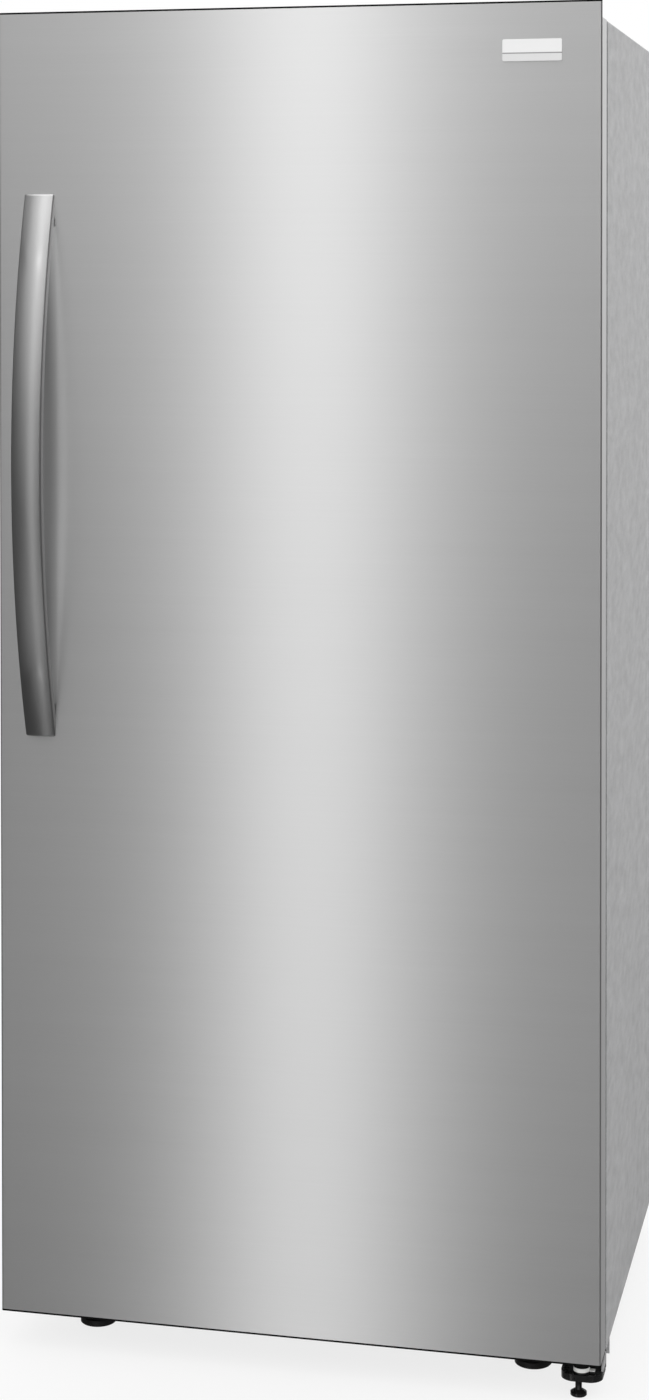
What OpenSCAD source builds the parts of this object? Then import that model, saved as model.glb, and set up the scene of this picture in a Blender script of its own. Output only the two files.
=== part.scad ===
// Single door refrigerator without a freezer: insulated cabinet, one tall hinged door with a bowed
// bar handle, glass shelves, drawers, door bins and a fan-cooled machine compartment.
// The floor is z = 0 and the front faces -Y. Inside the modules, y is counted from the front of the door.

/* [Overall] */
// Width of the cabinet and of the door
body_w = 836; // [800:1:900]
// Height of the door
door_h = 1804; // [1760:1:1900]
// Gap between the floor and the lower edge of the door
floor_gap = 48; // [44:1:60]
// Depth of the cabinet without the door
cabinet_d = 590; // [556:1:640]
// How far the door stands above the cabinet top
top_drop = 21; // [18:1:30]

/* [Door] */
// Depth of the steel part of the door
door_t = 48; // [44:1:52]
// Gap between the door and the cabinet that the gasket closes
gasket_gap = 14; // [12:1:16]
// Width of the gasket's sealing band
gasket_w = 15; // [12:1:18]
// Radius of the door's upright front edges
door_corner_r = 3; // [2:0.5:6]
// Thickness of the steel sheets
sheet_t = 0.8; // [0.6:0.1:1.2]
// Visible height of the black end caps
cap_lip = 2.5; // [1.5:0.5:4]
// Depth of the end caps' plugs inside the door
cap_plug = 12; // [10:1:18]
// Height of the raised rim on the inside of the door
dyke_d = 27; // [22:1:34]
// Width of that raised rim
dyke_w = 26; // [20:1:34]
// Thickness of moulded plastic walls
mould_t = 2.5; // [2:0.1:3]

/* [Hinges] */
// Distance of the hinge line from the side of the door
hinge_inset = 28; // [26:1:30]
// Distance of the hinge line from the front of the door
hinge_y = 22; // [20:1:23]
// Radius of both hinge pins
pin_r = 5; // [4:0.5:6]
// Radial running clearance on pins, stems and axles
run_clear = 0.05; // [0.02:0.01:0.09]
// Thickness of the hinge plates
hinge_plate_t = 3; // [2.5:0.5:4]
// Width of the top hinge's arm
hinge_arm_w = 14; // [12:1:16]
// Height of the hinge cover
hinge_cover_h = 15; // [13:1:16]
// Width of the bottom bracket
bracket_w = 56; // [50:1:60]
// Height of the bottom bracket's down-turned lip
bracket_lip = 9; // [7:1:11]
// Height of each nylon cam
cam_h = 8; // [6:0.5:9]
// Radius of the nylon cams
cam_r = 11; // [9:0.5:12]

/* [Handle] */
// Length of the handle
handle_l = 749; // [600:1:900]
// Width of the handle bar
handle_w = 43; // [34:1:50]
// Thickness of the handle bar
handle_t = 14; // [10:1:18]
// How far the bow stands out from the door
handle_reach = 64; // [50:1:70]
// How far its ends stand out from the door
handle_end = 5; // [4:0.5:8]
// Distance from the left edge of the door to the handle's centre
handle_inset = 59.5; // [45:0.5:90]
// Distance from the top of the door to the handle's upper end
handle_drop = 250; // [150:1:400]
// Radius of the crown across the handle's front
handle_crown_r = 60; // [40:1:120]

/* [Badge plate] */
// Width of the bare plate
badge_w = 79; // [60:1:90]
// Height of the bare plate
badge_h = 29; // [20:1:36]
// How far the plate stands out
badge_t = 1.5; // [1:0.1:2]
// Distance from the right edge of the door to the plate
badge_inset = 53; // [40:0.5:90]
// Distance from the top of the door to the plate
badge_drop = 50; // [40:1:90]

/* [Cabinet walls] */
// Thickness of the insulated side walls
side_wall = 45; // [40:1:55]
// Thickness of the insulated top
top_wall = 50; // [45:1:60]
// Thickness of the insulated back
back_wall = 50; // [45:1:60]
// Thickness of the insulated floor
floor_wall = 52; // [45:1:60]
// Bend radius along the cabinet's top edges
bend_r = 6; // [4:1:10]
// Radius of the liner's moulded corners
liner_r = 26; // [18:1:34]
// Depth of the machine compartment
machine_d = 172; // [165:1:180]
// Height of the machine compartment
machine_h = 220; // [215:1:240]
// Insulation over and before the machine compartment
step_wall = 38; // [34:1:44]

/* [Shelves] */
// Height of the lowest ledge above the cavity floor
ledge_z = 290; // [280:1:320]
// Spacing of the moulded ledges that the shelves rest on
ledge_pitch = 155; // [150:1:165]
// Number of ledges up each side
ledge_count = 8; // [7:1:8]
// Ledges that carry the three shelves
shelf_steps = [2, 4, 6]; // [0:1:7]
// Distance from the door front to the shelf fronts
shelf_front = 186; // [180:1:200]
// Thickness of the shelf frames
shelf_t = 16; // [14:1:20]
// Thickness of the glass panes
glass_t = 4; // [3:0.5:5]
// Width of the frames' rims
rim_w = 18; // [14:1:24]
// Height and reach of each ledge
ledge = 9; // [7:1:12]

/* [Drawers] */
// Height of the crisper drawers
crisper_h = 190; // [180:1:191]
// Distance from the door front to the crisper fronts
crisper_front = 158; // [150:1:170]
// Height of the deli drawer
deli_h = 104; // [90:1:110]
// Wall of the clear drawers and bins
clear_t = 3; // [2.5:0.5:4]
// Draft of the drawer walls from top to bottom
draft = 8; // [4:1:14]
// Clearance between a drawer and what guides it
guide_gap = 1; // [0.6:0.1:2]

/* [Door bins] */
// Heights of the three bins above the door's lower edge, as shares of the door's height
bin_levels = [0.167, 0.382, 0.604]; // [0.15:0.001:0.66]
// Height of a bin
bin_h = 92; // [70:1:110]
// Depth of a bin
bin_d = 108; // [90:1:112]
// How far the middle of a bin's front bows out past its ends
bin_bow = 14; // [8:1:20]
// Height of the dairy bin above the door's lower edge, as a share of the door's height
dairy_level = 0.826; // [0.8:0.001:0.84]
// Height of the dairy bin
dairy_h = 110; // [90:1:120]
// Height of the front opening that the dairy bin's lid covers
lid_drop = 55; // [45:1:65]

/* [Feet and rollers] */
// Radius of the two front feet
foot_r = 25.5; // [20:0.5:30]
// Height of the front feet's pads
foot_h = 14; // [10:1:16]
// Radius of the threaded stems
stem_r = 5; // [4:0.5:6]
// Distance of each front foot and rear roller from the cabinet's side
foot_inset = 106; // [70:1:130]
// Distance of the front feet behind the front of the door
foot_y = 110; // [100:1:140]
// Radius of the pad under the hinge bracket
small_foot_r = 11; // [9:0.5:13]
// Height of the pad under the hinge bracket
small_foot_h = 8; // [6:0.5:10]
// Radius of the rear rollers
roller_r = 20; // [18:1:22]
// Width of the rear rollers
roller_w = 22; // [18:1:28]

/* [Cooling] */
// Width of the air duct cover in the back of the cavity
duct_w = 300; // [260:1:340]
// Depth of the air duct cover
duct_d = 50; // [46:1:56]
// Number of fins on the evaporator
evaporator_fins = 24; // [12:1:30]
// Number of slots in each column of the machine cover
cover_slots = 9; // [6:1:10]
// Radius of both fans
fan_r = 50; // [44:1:54]
// Number of blades on a fan
fan_blades = 5; // [4:1:7]
// Radius of the compressor shell
compressor_r = 62; // [55:1:66]
// Number of passes of the condenser tube
condenser_passes = 5; // [3:1:6]

/* [Controls] */
// Width of the control housing under the cavity's top
panel_w = 280; // [240:1:320]
// Height of the control housing
panel_h = 26; // [24:1:32]
// Travel of a push button
button_travel = 1.2; // [0.8:0.1:1.5]
// Travel of a humidity slider to each side
slider_travel = 18; // [10:1:24]

/* [Hidden] */
$fn = 48;

// Gap beside soft parts and between curved faces that move past each other
soft_gap = 0.3;
// Overrun of a cut past the face that it opens
cut = 1;

door_z0 = floor_gap;
door_z1 = floor_gap + door_h;
cabinet_z1 = door_z1 - top_drop;
cabinet_y = door_t + gasket_gap;
back_y = cabinet_y + cabinet_d;
// The middle of the whole depth, handle included, lies over the origin
front_y = -(back_y + handle_reach) / 2 + handle_reach;

cavity_w = body_w - 2 * side_wall;
cavity_z0 = floor_gap + floor_wall;
cavity_z1 = cabinet_z1 - top_wall;
cavity_y1 = back_y - back_wall;
machine_y = back_y - machine_d;
machine_z1 = floor_gap + machine_h;
machine_mid = back_y - machine_d / 2;
step_y = machine_y - step_wall;
step_z = machine_z1 + step_wall;

// Hinges
hinge_x = body_w / 2 - hinge_inset;
notch_z = cabinet_z1 - 2;
notch_x = hinge_x - hinge_arm_w / 2 - 5;
notch_wall = 2.5;
pin_depth = 24;
boss_r = pin_r + 4;
boss_h = 30;
bracket_z = floor_gap - 2 * cam_h - 1;
bracket_y = 10;
bracket_r = 18;
cam_tab = 7;
screw_r = 3;
screw_head_r = 6;
screw_head_h = 4;
screw_l = 10;
top_plate_x = [hinge_x - 50, hinge_x + hinge_arm_w / 2];
top_plate_y = [cabinet_y + 4, cabinet_y + 70];
top_screws = [
    [top_plate_x[0] + 12, top_plate_y[0] + 14], [top_plate_x[0] + 12, top_plate_y[1] - 14],
    [top_plate_x[1] - 13, top_plate_y[1] - 14]
];
bracket_screws = [body_w / 2 - bracket_w + 10, body_w / 2 - 10];
bracket_screw_z = (bracket_z + floor_gap) / 2;

// Door
skin_return = 12;
field_y = door_t - sheet_t;
dyke_gap = 14;
dyke_r = 14;
dyke_x = cavity_w - 2 * dyke_gap;
dyke_z0 = cavity_z0 + dyke_gap;
dyke_z1 = cavity_z1 - dyke_gap;
lug = 3;
lug_h = 20;
lug_x = dyke_x / 2 - dyke_w;
handle_bow = handle_reach - handle_end;
handle_r = (pow(handle_l / 2, 2) + pow(handle_bow, 2)) / (2 * handle_bow);
handle_x = -body_w / 2 + handle_inset;
handle_corner_r = 4;
handle_z = door_z1 - handle_drop - handle_l / 2;
stud_r = 3;
stud_in = 16;
stud_l = 14;
badge_r = 2;
gasket_waist = 3;
gasket_r = 4;

// Bins
bin_heights = door_h * bin_levels;
dairy_z = door_h * dairy_level;
bin_x = lug_x - guide_gap;
bin_r = 16;
bin_dip = 24;
bin_bow_r = (pow(bin_x, 2) + pow(bin_bow, 2)) / (2 * bin_bow);
bin_y0 = field_y + guide_gap;
dairy_z1 = door_z0 + dairy_z + dairy_h;
lid_pin_r = 3;
lid_barrel_r = 5;
lid_y = bin_y0 + clear_t + lid_barrel_r + 1;
lid_z = dairy_z1 - lid_barrel_r - 3;
lid_x = bin_x - 2 * clear_t - guide_gap;
lid_flap = lid_drop - 4;

// Feet and rollers
foot_x = body_w / 2 - foot_inset;
rail_w = 44;
rail_t = 2;
base_z = floor_gap - 24;
small_stem_r = 4;
small_foot_x = hinge_x - 4;
foot_boss_r = 2 * small_stem_r;
nut_r = stem_r + 4;
wheel_gap = 1;
tread_w = 4;
hub_r = 8;
axle_r = 4;
roller_y = back_y - 45;

// Shelves and drawers
function step_height(n) = cavity_z0 + ledge_z + shelf_steps[n] * ledge_pitch;
duct_y = cavity_y1 - duct_d;
shelf_w = cavity_w - 3;
shelf_back = duct_y - 6;
shelf_r = 6;
rebate = rim_w / 2;
glass_gap = 0.1;
front_t = 8;
grip_d = 14;
grip_r = 4;
flange_w = 12;
cover_front = crisper_front + 4;
runner_h = 4;
runner_w = 10;
tub_r = 14;
grip_drop = 10;
grip_share = 0.6;
runner_x = 120;
divider_t = 6;
crisper_w = (cavity_w - divider_t) / 2 - 2 * guide_gap;
crisper_x = divider_t / 2 + guide_gap + crisper_w / 2;
crisper_z = cavity_z0 + runner_h + soft_gap;
crisper_d = step_y - 8 - crisper_front;
deli_w = 520;
deli_rail_h = 16;
deli_lip = 8;
deli_front = shelf_front + 4;
deli_d = shelf_back - 12 - deli_front;
deli_z = step_height(0) - deli_rail_h + soft_gap + clear_t - deli_h;
slider_w = 26;
slider_h = 6;
slider_reach = 4;
slider_knob_r = 5;
slider_z = step_z + shelf_t / 2 - 1;

// Cooling
duct_z = [step_z + 26, cavity_z1 - 46];
duct_r = 20;
louvre_rows = [0.05, 0.28, 0.5, 0.72, 0.94];
louvre_w = 90;
louvre_h = 5;
louvre_pitch = 14;
tube_r = 4;
shaft_r = 3;
coil_w = 230;
coil_passes = 8;
coil_pitch = 30;
fin_d = 34;
fin_t = 1;
plate_t = 2;
fan_hub_r = 14;
fan_hub_h = 14;
blade_angle = 32;
blade_t = 1.6;
shaft_end = 3;
motor_gap = 1;
evaporator_z = step_z + 70;
fan_z = evaporator_z + coil_passes * coil_pitch + fan_r + 10;
fan_y = duct_y + mould_t + 5;
machine_floor = floor_gap + sheet_t;
condenser_x = -body_w / 4;
condenser_w = 290;
condenser_pitch = 26;
pan_h = 26;
condenser_z = machine_floor + pan_h + 22;
condenser_fan_x = condenser_x + condenser_w / 2 + 44;
condenser_fan_z = machine_floor + 92;
motor_l = 34;
motor_r = 20;
pan_r = 8;
plate_share = 0.4;
compressor_x = body_w * 0.275;
shell_z = 14;
shell_z1 = 146;
seam_z = 77;
seam_w = 4;
grommet_r = 10;
slot_columns = 6;
slot_w = 92;
slot_h = 6;
slot_margin = 34;
slot_pitch = 15;
slot_z = 46;
inlet_x = body_w / 2 - 78;
inlet_w = 36;
inlet_d = 26;
inlet_h = 26;

// Controls
panel_y0 = cabinet_y + 30;
panel_y1 = panel_y0 + 80;
panel_z = cavity_z1 - panel_h / 2;
button_r = 6;
button_out = 0.6;
button_xs = [60, 82, 104];
button_collar = 1.5;
display_w = 60;
lens_w = panel_w - 40;
lens_d = 80;
lens_h = 9;
lens_r = 10;
lens_y = panel_y1 + 16 + lens_d / 2;
panel_back_h = 0.55 * panel_h;

module from_front() translate([0, front_y, 0]) children();
module block(x, y, z) translate([x[0], y[0], z[0]]) cube([x[1] - x[0], y[1] - y[0], z[1] - z[0]]);
module along_x(x) translate([x, 0, 0]) rotate([90, 0, 90]) children();
module along_y(y) translate([0, y, 0]) rotate([90, 0, 0]) mirror([0, 0, 1]) children();
function span(a, b) = [min(a, b), max(a, b)];
function around(middle, half) = [middle - half, middle + half];

// A rounded rectangle of true arcs, centred
module rounded(w, h, r) {
    square([w - 2 * r, h], center = true);
    square([w, h - 2 * r], center = true);
    for (x = [-1, 1], y = [-1, 1]) translate([x * (w / 2 - r), y * (h / 2 - r)]) circle(r);
}

// A plate that stands in the XZ plane between two depths
module upright(w, z, r, y)
    translate([0, y[0], (z[0] + z[1]) / 2]) rotate([90, 0, 0]) mirror([0, 0, 1])
        linear_extrude(y[1] - y[0]) rounded(w, z[1] - z[0], r);

// A band that stands in the XZ plane: an upright plate with its middle cut out
module upright_band(w, z, r, band, y) difference() {
    upright(w, z, r, y);
    upright(w - 2 * band, [z[0] + band, z[1] - band], max(r - band, 1), [y[0] - cut, y[1] + cut]);
}

// Footprint of the door with its rounded front edges, drawn in from the outside by a margin
module door_outline(in) {
    r = max(door_corner_r - in, 0.5);
    w = body_w / 2 - in;
    translate([-w, in + r]) square([2 * w, door_t - 2 * in - r]);
    translate([-w + r, in]) square([2 * w - 2 * r, door_t - 2 * in]);
    for (x = [-1, 1]) translate([x * (w - r), in + r]) circle(r);
}

// Room in the top of the door for the hinge arm, open to the side and to the back
module hinge_notch(in = 0)
    block([notch_x - in, body_w / 2 + cut], [notch_wall - in, door_t + cut],
        [notch_z - in, door_z1 + cut]);

module stud_holes()
    for (s = [-1, 1]) translate([handle_x, 0, handle_z + s * (handle_l / 2 - stud_in)])
        along_y(-cut) cylinder(h = stud_l + cut, r = stud_r);

// Door

module door_skin() color("silver") from_front() difference() {
    translate([0, 0, door_z0 + cap_lip]) linear_extrude(door_h - 2 * cap_lip) difference() {
        door_outline(0);
        door_outline(sheet_t);
        translate([-body_w / 2 + skin_return, door_t / 2]) square([body_w - 2 * skin_return, door_t]);
    }
    hinge_notch();
    stud_holes();
}

// The moulded rim on the inside of the door, drawn in from its outside by a margin
module dyke(in, y0)
    upright_band(dyke_x - 2 * in, [dyke_z0 + in, dyke_z1 - in], dyke_r - in, dyke_w - 2 * in,
        [y0, field_y + dyke_d - in]);

// Lugs on the inner flanks of the rim that carry a bin, a little larger for the bin's own pockets
module bin_lugs(z, in = 0) for (s = [-1, 1])
    block(span(s * (lug_x + cut), s * (lug_x - lug - in)), [field_y - in, field_y + dyke_d - lug + in],
        [z + bin_h / 2 - lug_h - in, z + bin_h / 2 + in]);

module door_liner() color("white") from_front() difference() {
    union() {
        block([-body_w / 2 + sheet_t, body_w / 2 - sheet_t], [field_y - mould_t, field_y],
            [door_z0 + cap_lip + cap_plug, door_z1 - cap_lip - cap_plug]);
        dyke(0, field_y - mould_t);
        for (h = concat(bin_heights, [dairy_z])) bin_lugs(door_z0 + h);
    }
    dyke(mould_t, field_y - mould_t - cut);
    hinge_notch(mould_t);
}

module door_foam() color("khaki") from_front() difference() {
    union() {
        translate([0, 0, door_z0 + cap_lip + cap_plug])
            linear_extrude(door_h - 2 * (cap_lip + cap_plug)) intersection() {
                door_outline(sheet_t);
                square([2 * body_w, 2 * (field_y - mould_t)], center = true);
            }
        dyke(mould_t, field_y - mould_t - cut);
    }
    hinge_notch(mould_t);
    translate([hinge_x, hinge_y, notch_z - mould_t - pin_depth]) cylinder(h = 2 * pin_depth, r = boss_r);
    translate([hinge_x, hinge_y, door_z0]) cylinder(h = boss_h, r = boss_r);
    stud_holes();
}

// The wall of an end cap's plug, which lines the skin
module cap_plug_wall(z0) translate([0, 0, z0]) linear_extrude(cap_plug) difference() {
    door_outline(sheet_t);
    door_outline(sheet_t + mould_t);
}

module door_top_cap() color("dimgray") from_front() difference() {
    union() {
        translate([0, 0, door_z1 - cap_lip]) linear_extrude(cap_lip) door_outline(0);
        cap_plug_wall(door_z1 - cap_lip - cap_plug);
        // Pocket that the hinge arm turns in
        intersection() {
            hinge_notch(mould_t);
            translate([0, 0, door_z0]) linear_extrude(door_h - cap_lip) door_outline(sheet_t);
        }
        translate([hinge_x, hinge_y, notch_z - mould_t - pin_depth]) cylinder(h = pin_depth, r = boss_r);
    }
    hinge_notch();
    translate([hinge_x, hinge_y, notch_z - pin_depth]) cylinder(h = 2 * pin_depth, r = pin_r + run_clear);
}

module door_bottom_cap() color("dimgray") from_front() difference() {
    union() {
        translate([0, 0, door_z0]) linear_extrude(cap_lip) door_outline(0);
        cap_plug_wall(door_z0 + cap_lip);
        translate([hinge_x, hinge_y, door_z0]) cylinder(h = boss_h, r = boss_r);
        // The upper half of the closer cam is moulded on
        translate([hinge_x, hinge_y, bracket_z + cam_h + soft_gap])
            cylinder(h = door_z0 - bracket_z - cam_h - soft_gap, r = cam_r);
    }
    translate([hinge_x, hinge_y, bracket_z])
        cylinder(h = door_z0 - bracket_z + boss_h - mould_t, r = pin_r + run_clear);
}

// Base strip, bellows and the magnet tube that meets the cabinet's flange
module door_gasket() color("gray") from_front() {
    w = body_w - 2 * (hinge_inset + 0.5);
    z = [cavity_z0 - gasket_w - 4, cavity_z1 + gasket_w + 4];
    y1 = cabinet_y - soft_gap;
    fold = (y1 - field_y) / 3;
    upright_band(w, z, gasket_r, gasket_w, [field_y, field_y + fold]);
    upright_band(w - 2 * gasket_waist, z + [gasket_waist, -gasket_waist], gasket_r - gasket_waist / 2,
        gasket_w - 2 * gasket_waist, [field_y, y1]);
    upright_band(w, z, gasket_r, gasket_w, [y1 - fold, y1]);
}

// One bar bent to an arc, crowned across its front, whose two ends are cut off flush on the door
module handle() color("lightgray") from_front() translate([handle_x, 0, handle_z]) {
    intersection() {
        translate([0, handle_r - handle_reach, 0]) rotate([0, 90, 0])
            rotate_extrude($fn = 96) intersection() {
                translate([handle_r - handle_t, -handle_w / 2]) square([handle_t + cut, handle_w]);
                translate([handle_r - handle_crown_r, 0]) circle(handle_crown_r);
            }
        along_y(-handle_reach - cut) linear_extrude(handle_reach + cut)
            rounded(handle_w, handle_l, handle_corner_r);
    }
    // Studs that pass through the door skin
    for (s = [-1, 1]) translate([0, 0, s * (handle_l / 2 - stud_in)])
        along_y(-handle_end) cylinder(h = stud_l + handle_end, r = stud_r);
}

module badge_plate() color("whitesmoke") from_front()
    translate([body_w / 2 - badge_inset - badge_w / 2, 0, 0])
        upright(badge_w, [door_z1 - badge_drop - badge_h, door_z1 - badge_drop], badge_r, [-badge_t, 0]);

// Plan of a bin with its bowed front, drawn in from the outside by a margin
module bin_plan(in) intersection() {
    translate([0, bin_y0 + bin_d / 2]) rounded(2 * (bin_x - in), bin_d - 2 * in, max(bin_r - in, 1));
    translate([0, bin_y0 + bin_d - bin_bow_r]) circle(bin_bow_r - in, $fn = 96);
}

// The front half of a bin's wall
module bin_front(wall) difference() {
    bin_plan(0);
    bin_plan(wall);
    translate([-body_w / 2, 0]) square([body_w, bin_y0 + bin_d / 2]);
}

module bin_shell(z, h) difference() {
    translate([0, 0, z]) linear_extrude(h) bin_plan(0);
    translate([0, 0, z + clear_t]) linear_extrude(h) bin_plan(clear_t);
    bin_lugs(z, soft_gap / 2);
}

// An open bin: its front wall is lower than its ends and has a rolled edge
module door_bin(z) color("lightblue") from_front() {
    top = z + bin_h - bin_dip;
    difference() {
        bin_shell(z, bin_h);
        block(around(0, bin_x - 2 * bin_r), [bin_y0 + bin_d / 2, bin_y0 + bin_d + cut], [top, top + bin_h]);
    }
    translate([0, 0, top - clear_t]) linear_extrude(clear_t) bin_front(2 * clear_t);
}
module door_bin_lowest() door_bin(door_z0 + bin_heights[0]);
module door_bin_lower() door_bin(door_z0 + bin_heights[1]);
module door_bin_upper() door_bin(door_z0 + bin_heights[2]);

// Closed bin for dairy goods: its cheeks hold the lid's pivots
module dairy_bin() color("lightblue") from_front() difference() {
    bin_shell(door_z0 + dairy_z, dairy_h);
    block(around(0, bin_x - clear_t), [bin_y0 + bin_d / 2, bin_y0 + bin_d + cut],
        [dairy_z1 - lid_drop, dairy_z1 + cut]);
    translate([0, lid_y, lid_z]) rotate([0, 90, 0])
        cylinder(h = body_w, r = lid_pin_r + run_clear, center = true);
}

// Plan of the lid: it passes between the bin's ends and clears their rear corners as it swings
module lid_plan() intersection() {
    translate([0, lid_y + bin_d / 2]) rounded(2 * lid_x, bin_d, bin_r);
    bin_plan(0);
}

// A clear top and a bowed front flap that swing up together on two pivots
module dairy_lid() color("aliceblue") from_front() {
    top = lid_z + lid_barrel_r;
    translate([0, 0, top - clear_t]) linear_extrude(clear_t) lid_plan();
    translate([0, 0, top - lid_flap]) linear_extrude(lid_flap) intersection() {
        lid_plan();
        bin_front(clear_t);
    }
    translate([0, lid_y, lid_z]) rotate([0, 90, 0]) {
        cylinder(h = 2 * (lid_x - bin_r), r = lid_barrel_r, center = true);
        cylinder(h = 2 * bin_x, r = lid_pin_r, center = true);
    }
}

// Cabinet

// Front view of the cabinet with its bent top edges, drawn in from the outside by a margin
module wrapper_outline(in) {
    w = body_w / 2 - in;
    h = cabinet_z1 - floor_gap - in;
    r = bend_r - in;
    translate([-w, floor_gap]) square([2 * w, h - r]);
    translate([-w + r, floor_gap]) square([2 * w - 2 * r, h]);
    for (x = [-1, 1]) translate([x * (w - r), floor_gap + h - r]) circle(r);
}

// One bent sheet: two sides and the top, with its front edges turned in to form the flange
module cabinet_wrapper() color("darkgray") from_front() difference() {
    union() {
        along_y(cabinet_y) linear_extrude(cabinet_d - sheet_t) difference() {
            wrapper_outline(0);
            wrapper_outline(sheet_t);
            translate([-body_w / 2 + sheet_t, 0]) square([body_w - 2 * sheet_t, 2 * floor_gap]);
        }
        along_y(cabinet_y) linear_extrude(sheet_t) difference() {
            wrapper_outline(sheet_t / 2);
            translate([0, (cavity_z0 + cavity_z1) / 2]) rounded(cavity_w, cavity_z1 - cavity_z0, liner_r);
        }
    }
    hinge_screw_shanks();
}

module back_panel() color("gray") from_front()
    along_y(back_y - sheet_t) linear_extrude(sheet_t) intersection() {
        wrapper_outline(0);
        translate([-body_w, machine_z1]) square([2 * body_w, 2 * cabinet_z1]);
    }

// Side view of the cavity, grown outwards by a margin
module cavity_side(out) polygon([
    [cabinet_y + sheet_t, cavity_z0 - out], [step_y + out, cavity_z0 - out],
    [step_y + out, step_z - out], [cavity_y1 + out, step_z - out],
    [cavity_y1 + out, cavity_z1 + out], [cabinet_y + sheet_t, cavity_z1 + out]
]);

module cavity(out) intersection() {
    along_x(-cavity_w / 2 - out) linear_extrude(cavity_w + 2 * out) cavity_side(out);
    upright(cavity_w + 2 * out, [cavity_z0 - out, cavity_z1 + out], liner_r + out,
        [cabinet_y, back_y]);
}

module inner_liner() color("white") from_front() {
    difference() {
        cavity(mould_t);
        translate([0, -cut, 0]) cavity(0);
        cavity(0);
    }
    // Ledges up both sides for the shelves, and one pair for the crisper cover
    for (n = [0:ledge_count - 1]) side_ledges(cavity_z0 + ledge_z + n * ledge_pitch, shelf_back - 12);
    side_ledges(step_z, step_y);
}
module side_ledges(z, y1) for (s = [-1, 1])
    block(span(s * (cavity_w / 2 + mould_t / 2), s * (cavity_w / 2 - ledge)), [shelf_front + 12, y1],
        [z - ledge, z]);

module cabinet_foam() color("khaki") from_front() difference() {
    along_y(cabinet_y + sheet_t) linear_extrude(cabinet_d - 2 * sheet_t)
        intersection() {
            wrapper_outline(sheet_t);
            translate([-body_w, floor_gap + sheet_t]) square([2 * body_w, 2 * cabinet_z1]);
        }
    cavity(mould_t);
    block([-body_w, body_w], [machine_y - sheet_t, back_y + cut], [0, machine_z1 + sheet_t]);
    hinge_screw_shanks();
}

// Underside: floor sheet, walls of the machine compartment, and the channels that the feet screw into
module base_frame() color("dimgray") from_front() difference() {
    inner_w = body_w - 2 * sheet_t;
    union() {
        translate([-inner_w / 2, cabinet_y + sheet_t, floor_gap])
            cube([inner_w, cabinet_d - sheet_t, sheet_t]);
        translate([-inner_w / 2, machine_y - sheet_t, floor_gap])
            cube([inner_w, sheet_t, machine_h + sheet_t]);
        translate([-inner_w / 2, machine_y - sheet_t, machine_z1]) cube([inner_w, machine_d, sheet_t]);
        for (s = [-1, 1]) difference() {
            block([s * foot_x - rail_w / 2, s * foot_x + rail_w / 2], [cabinet_y + rail_t, back_y - rail_t],
                [base_z, floor_gap]);
            block([s * foot_x - rail_w / 2 + rail_t, s * foot_x + rail_w / 2 - rail_t],
                [cabinet_y, back_y], [base_z - cut, floor_gap - rail_t]);
        }
        difference() {
            block([-inner_w / 2, inner_w / 2], [cabinet_y, cabinet_y + rail_w], [base_z, floor_gap]);
            block([-inner_w / 2 - cut, inner_w / 2 + cut], [cabinet_y + rail_t, cabinet_y + rail_w - rail_t],
                [base_z - cut, floor_gap - rail_t]);
        }
        for (s = [-1, 1]) translate([s * foot_x, foot_y, base_z]) cylinder(h = floor_gap - base_z, r = nut_r);
    }
    for (s = [-1, 1]) translate([s * foot_x, foot_y, 0])
        cylinder(h = floor_gap + 2 * cut, r = stem_r + run_clear);
    bracket_screw_shanks();
}

// Hinges

module hinge_screw_shanks() for (p = top_screws)
    translate([p[0], p[1], cabinet_z1 - screw_l]) cylinder(h = screw_l + hinge_plate_t, r = screw_r);
module bracket_screw_shanks() for (x = bracket_screws)
    translate([x, 0, bracket_screw_z]) along_y(cabinet_y - hinge_plate_t)
        cylinder(h = screw_l + hinge_plate_t, r = screw_r);

// Top hinge: a plate screwed to the cabinet, an arm and a pin that points down into the door
module top_hinge() color("gray") from_front() difference() {
    union() {
        block(top_plate_x, top_plate_y, [cabinet_z1, cabinet_z1 + hinge_plate_t]);
        block([hinge_x - hinge_arm_w / 2, hinge_x + hinge_arm_w / 2], [hinge_y, top_plate_y[0] + cut],
            [cabinet_z1, cabinet_z1 + hinge_plate_t]);
        translate([hinge_x, hinge_y, cabinet_z1]) cylinder(h = hinge_plate_t, r = boss_r);
        translate([hinge_x, hinge_y, notch_z - pin_depth + 2]) cylinder(h = pin_depth + 2, r = pin_r);
    }
    hinge_screw_shanks();
}

// Low cap over the hinge plate with a rounded top edge and a slot for the arm
module top_hinge_cover() color("gray") from_front() difference() {
    r = mould_t + 0.5;
    x = top_plate_x + [-1, 1];
    y = top_plate_y + [0, 1];
    z = cabinet_z1 + hinge_cover_h - r;
    union() {
        block(x + [-r, r], y, [cabinet_z1, z]);
        block(x, y + [-r, r], [cabinet_z1, z]);
        block(x, y, [cabinet_z1, z + r]);
        for (a = x) translate([a, 0, z]) along_y(y[0]) cylinder(h = y[1] - y[0], r = r);
        for (b = y) translate([x[0], b, z]) rotate([0, 90, 0]) cylinder(h = x[1] - x[0], r = r);
        for (a = x, b = y) {
            translate([a, b, z]) sphere(r);
            translate([a, b, cabinet_z1]) cylinder(h = z - cabinet_z1, r = r);
        }
    }
    block(x + [-0.5, 0.5], y + [-0.5, 0.5], [cabinet_z1 - cut, cabinet_z1 + hinge_cover_h - mould_t]);
    block([hinge_x - hinge_arm_w / 2 - cut, hinge_x + hinge_arm_w / 2 + cut], [0, y[0] + cut],
        [cabinet_z1 - cut, cabinet_z1 + hinge_plate_t + cut]);
}

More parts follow.
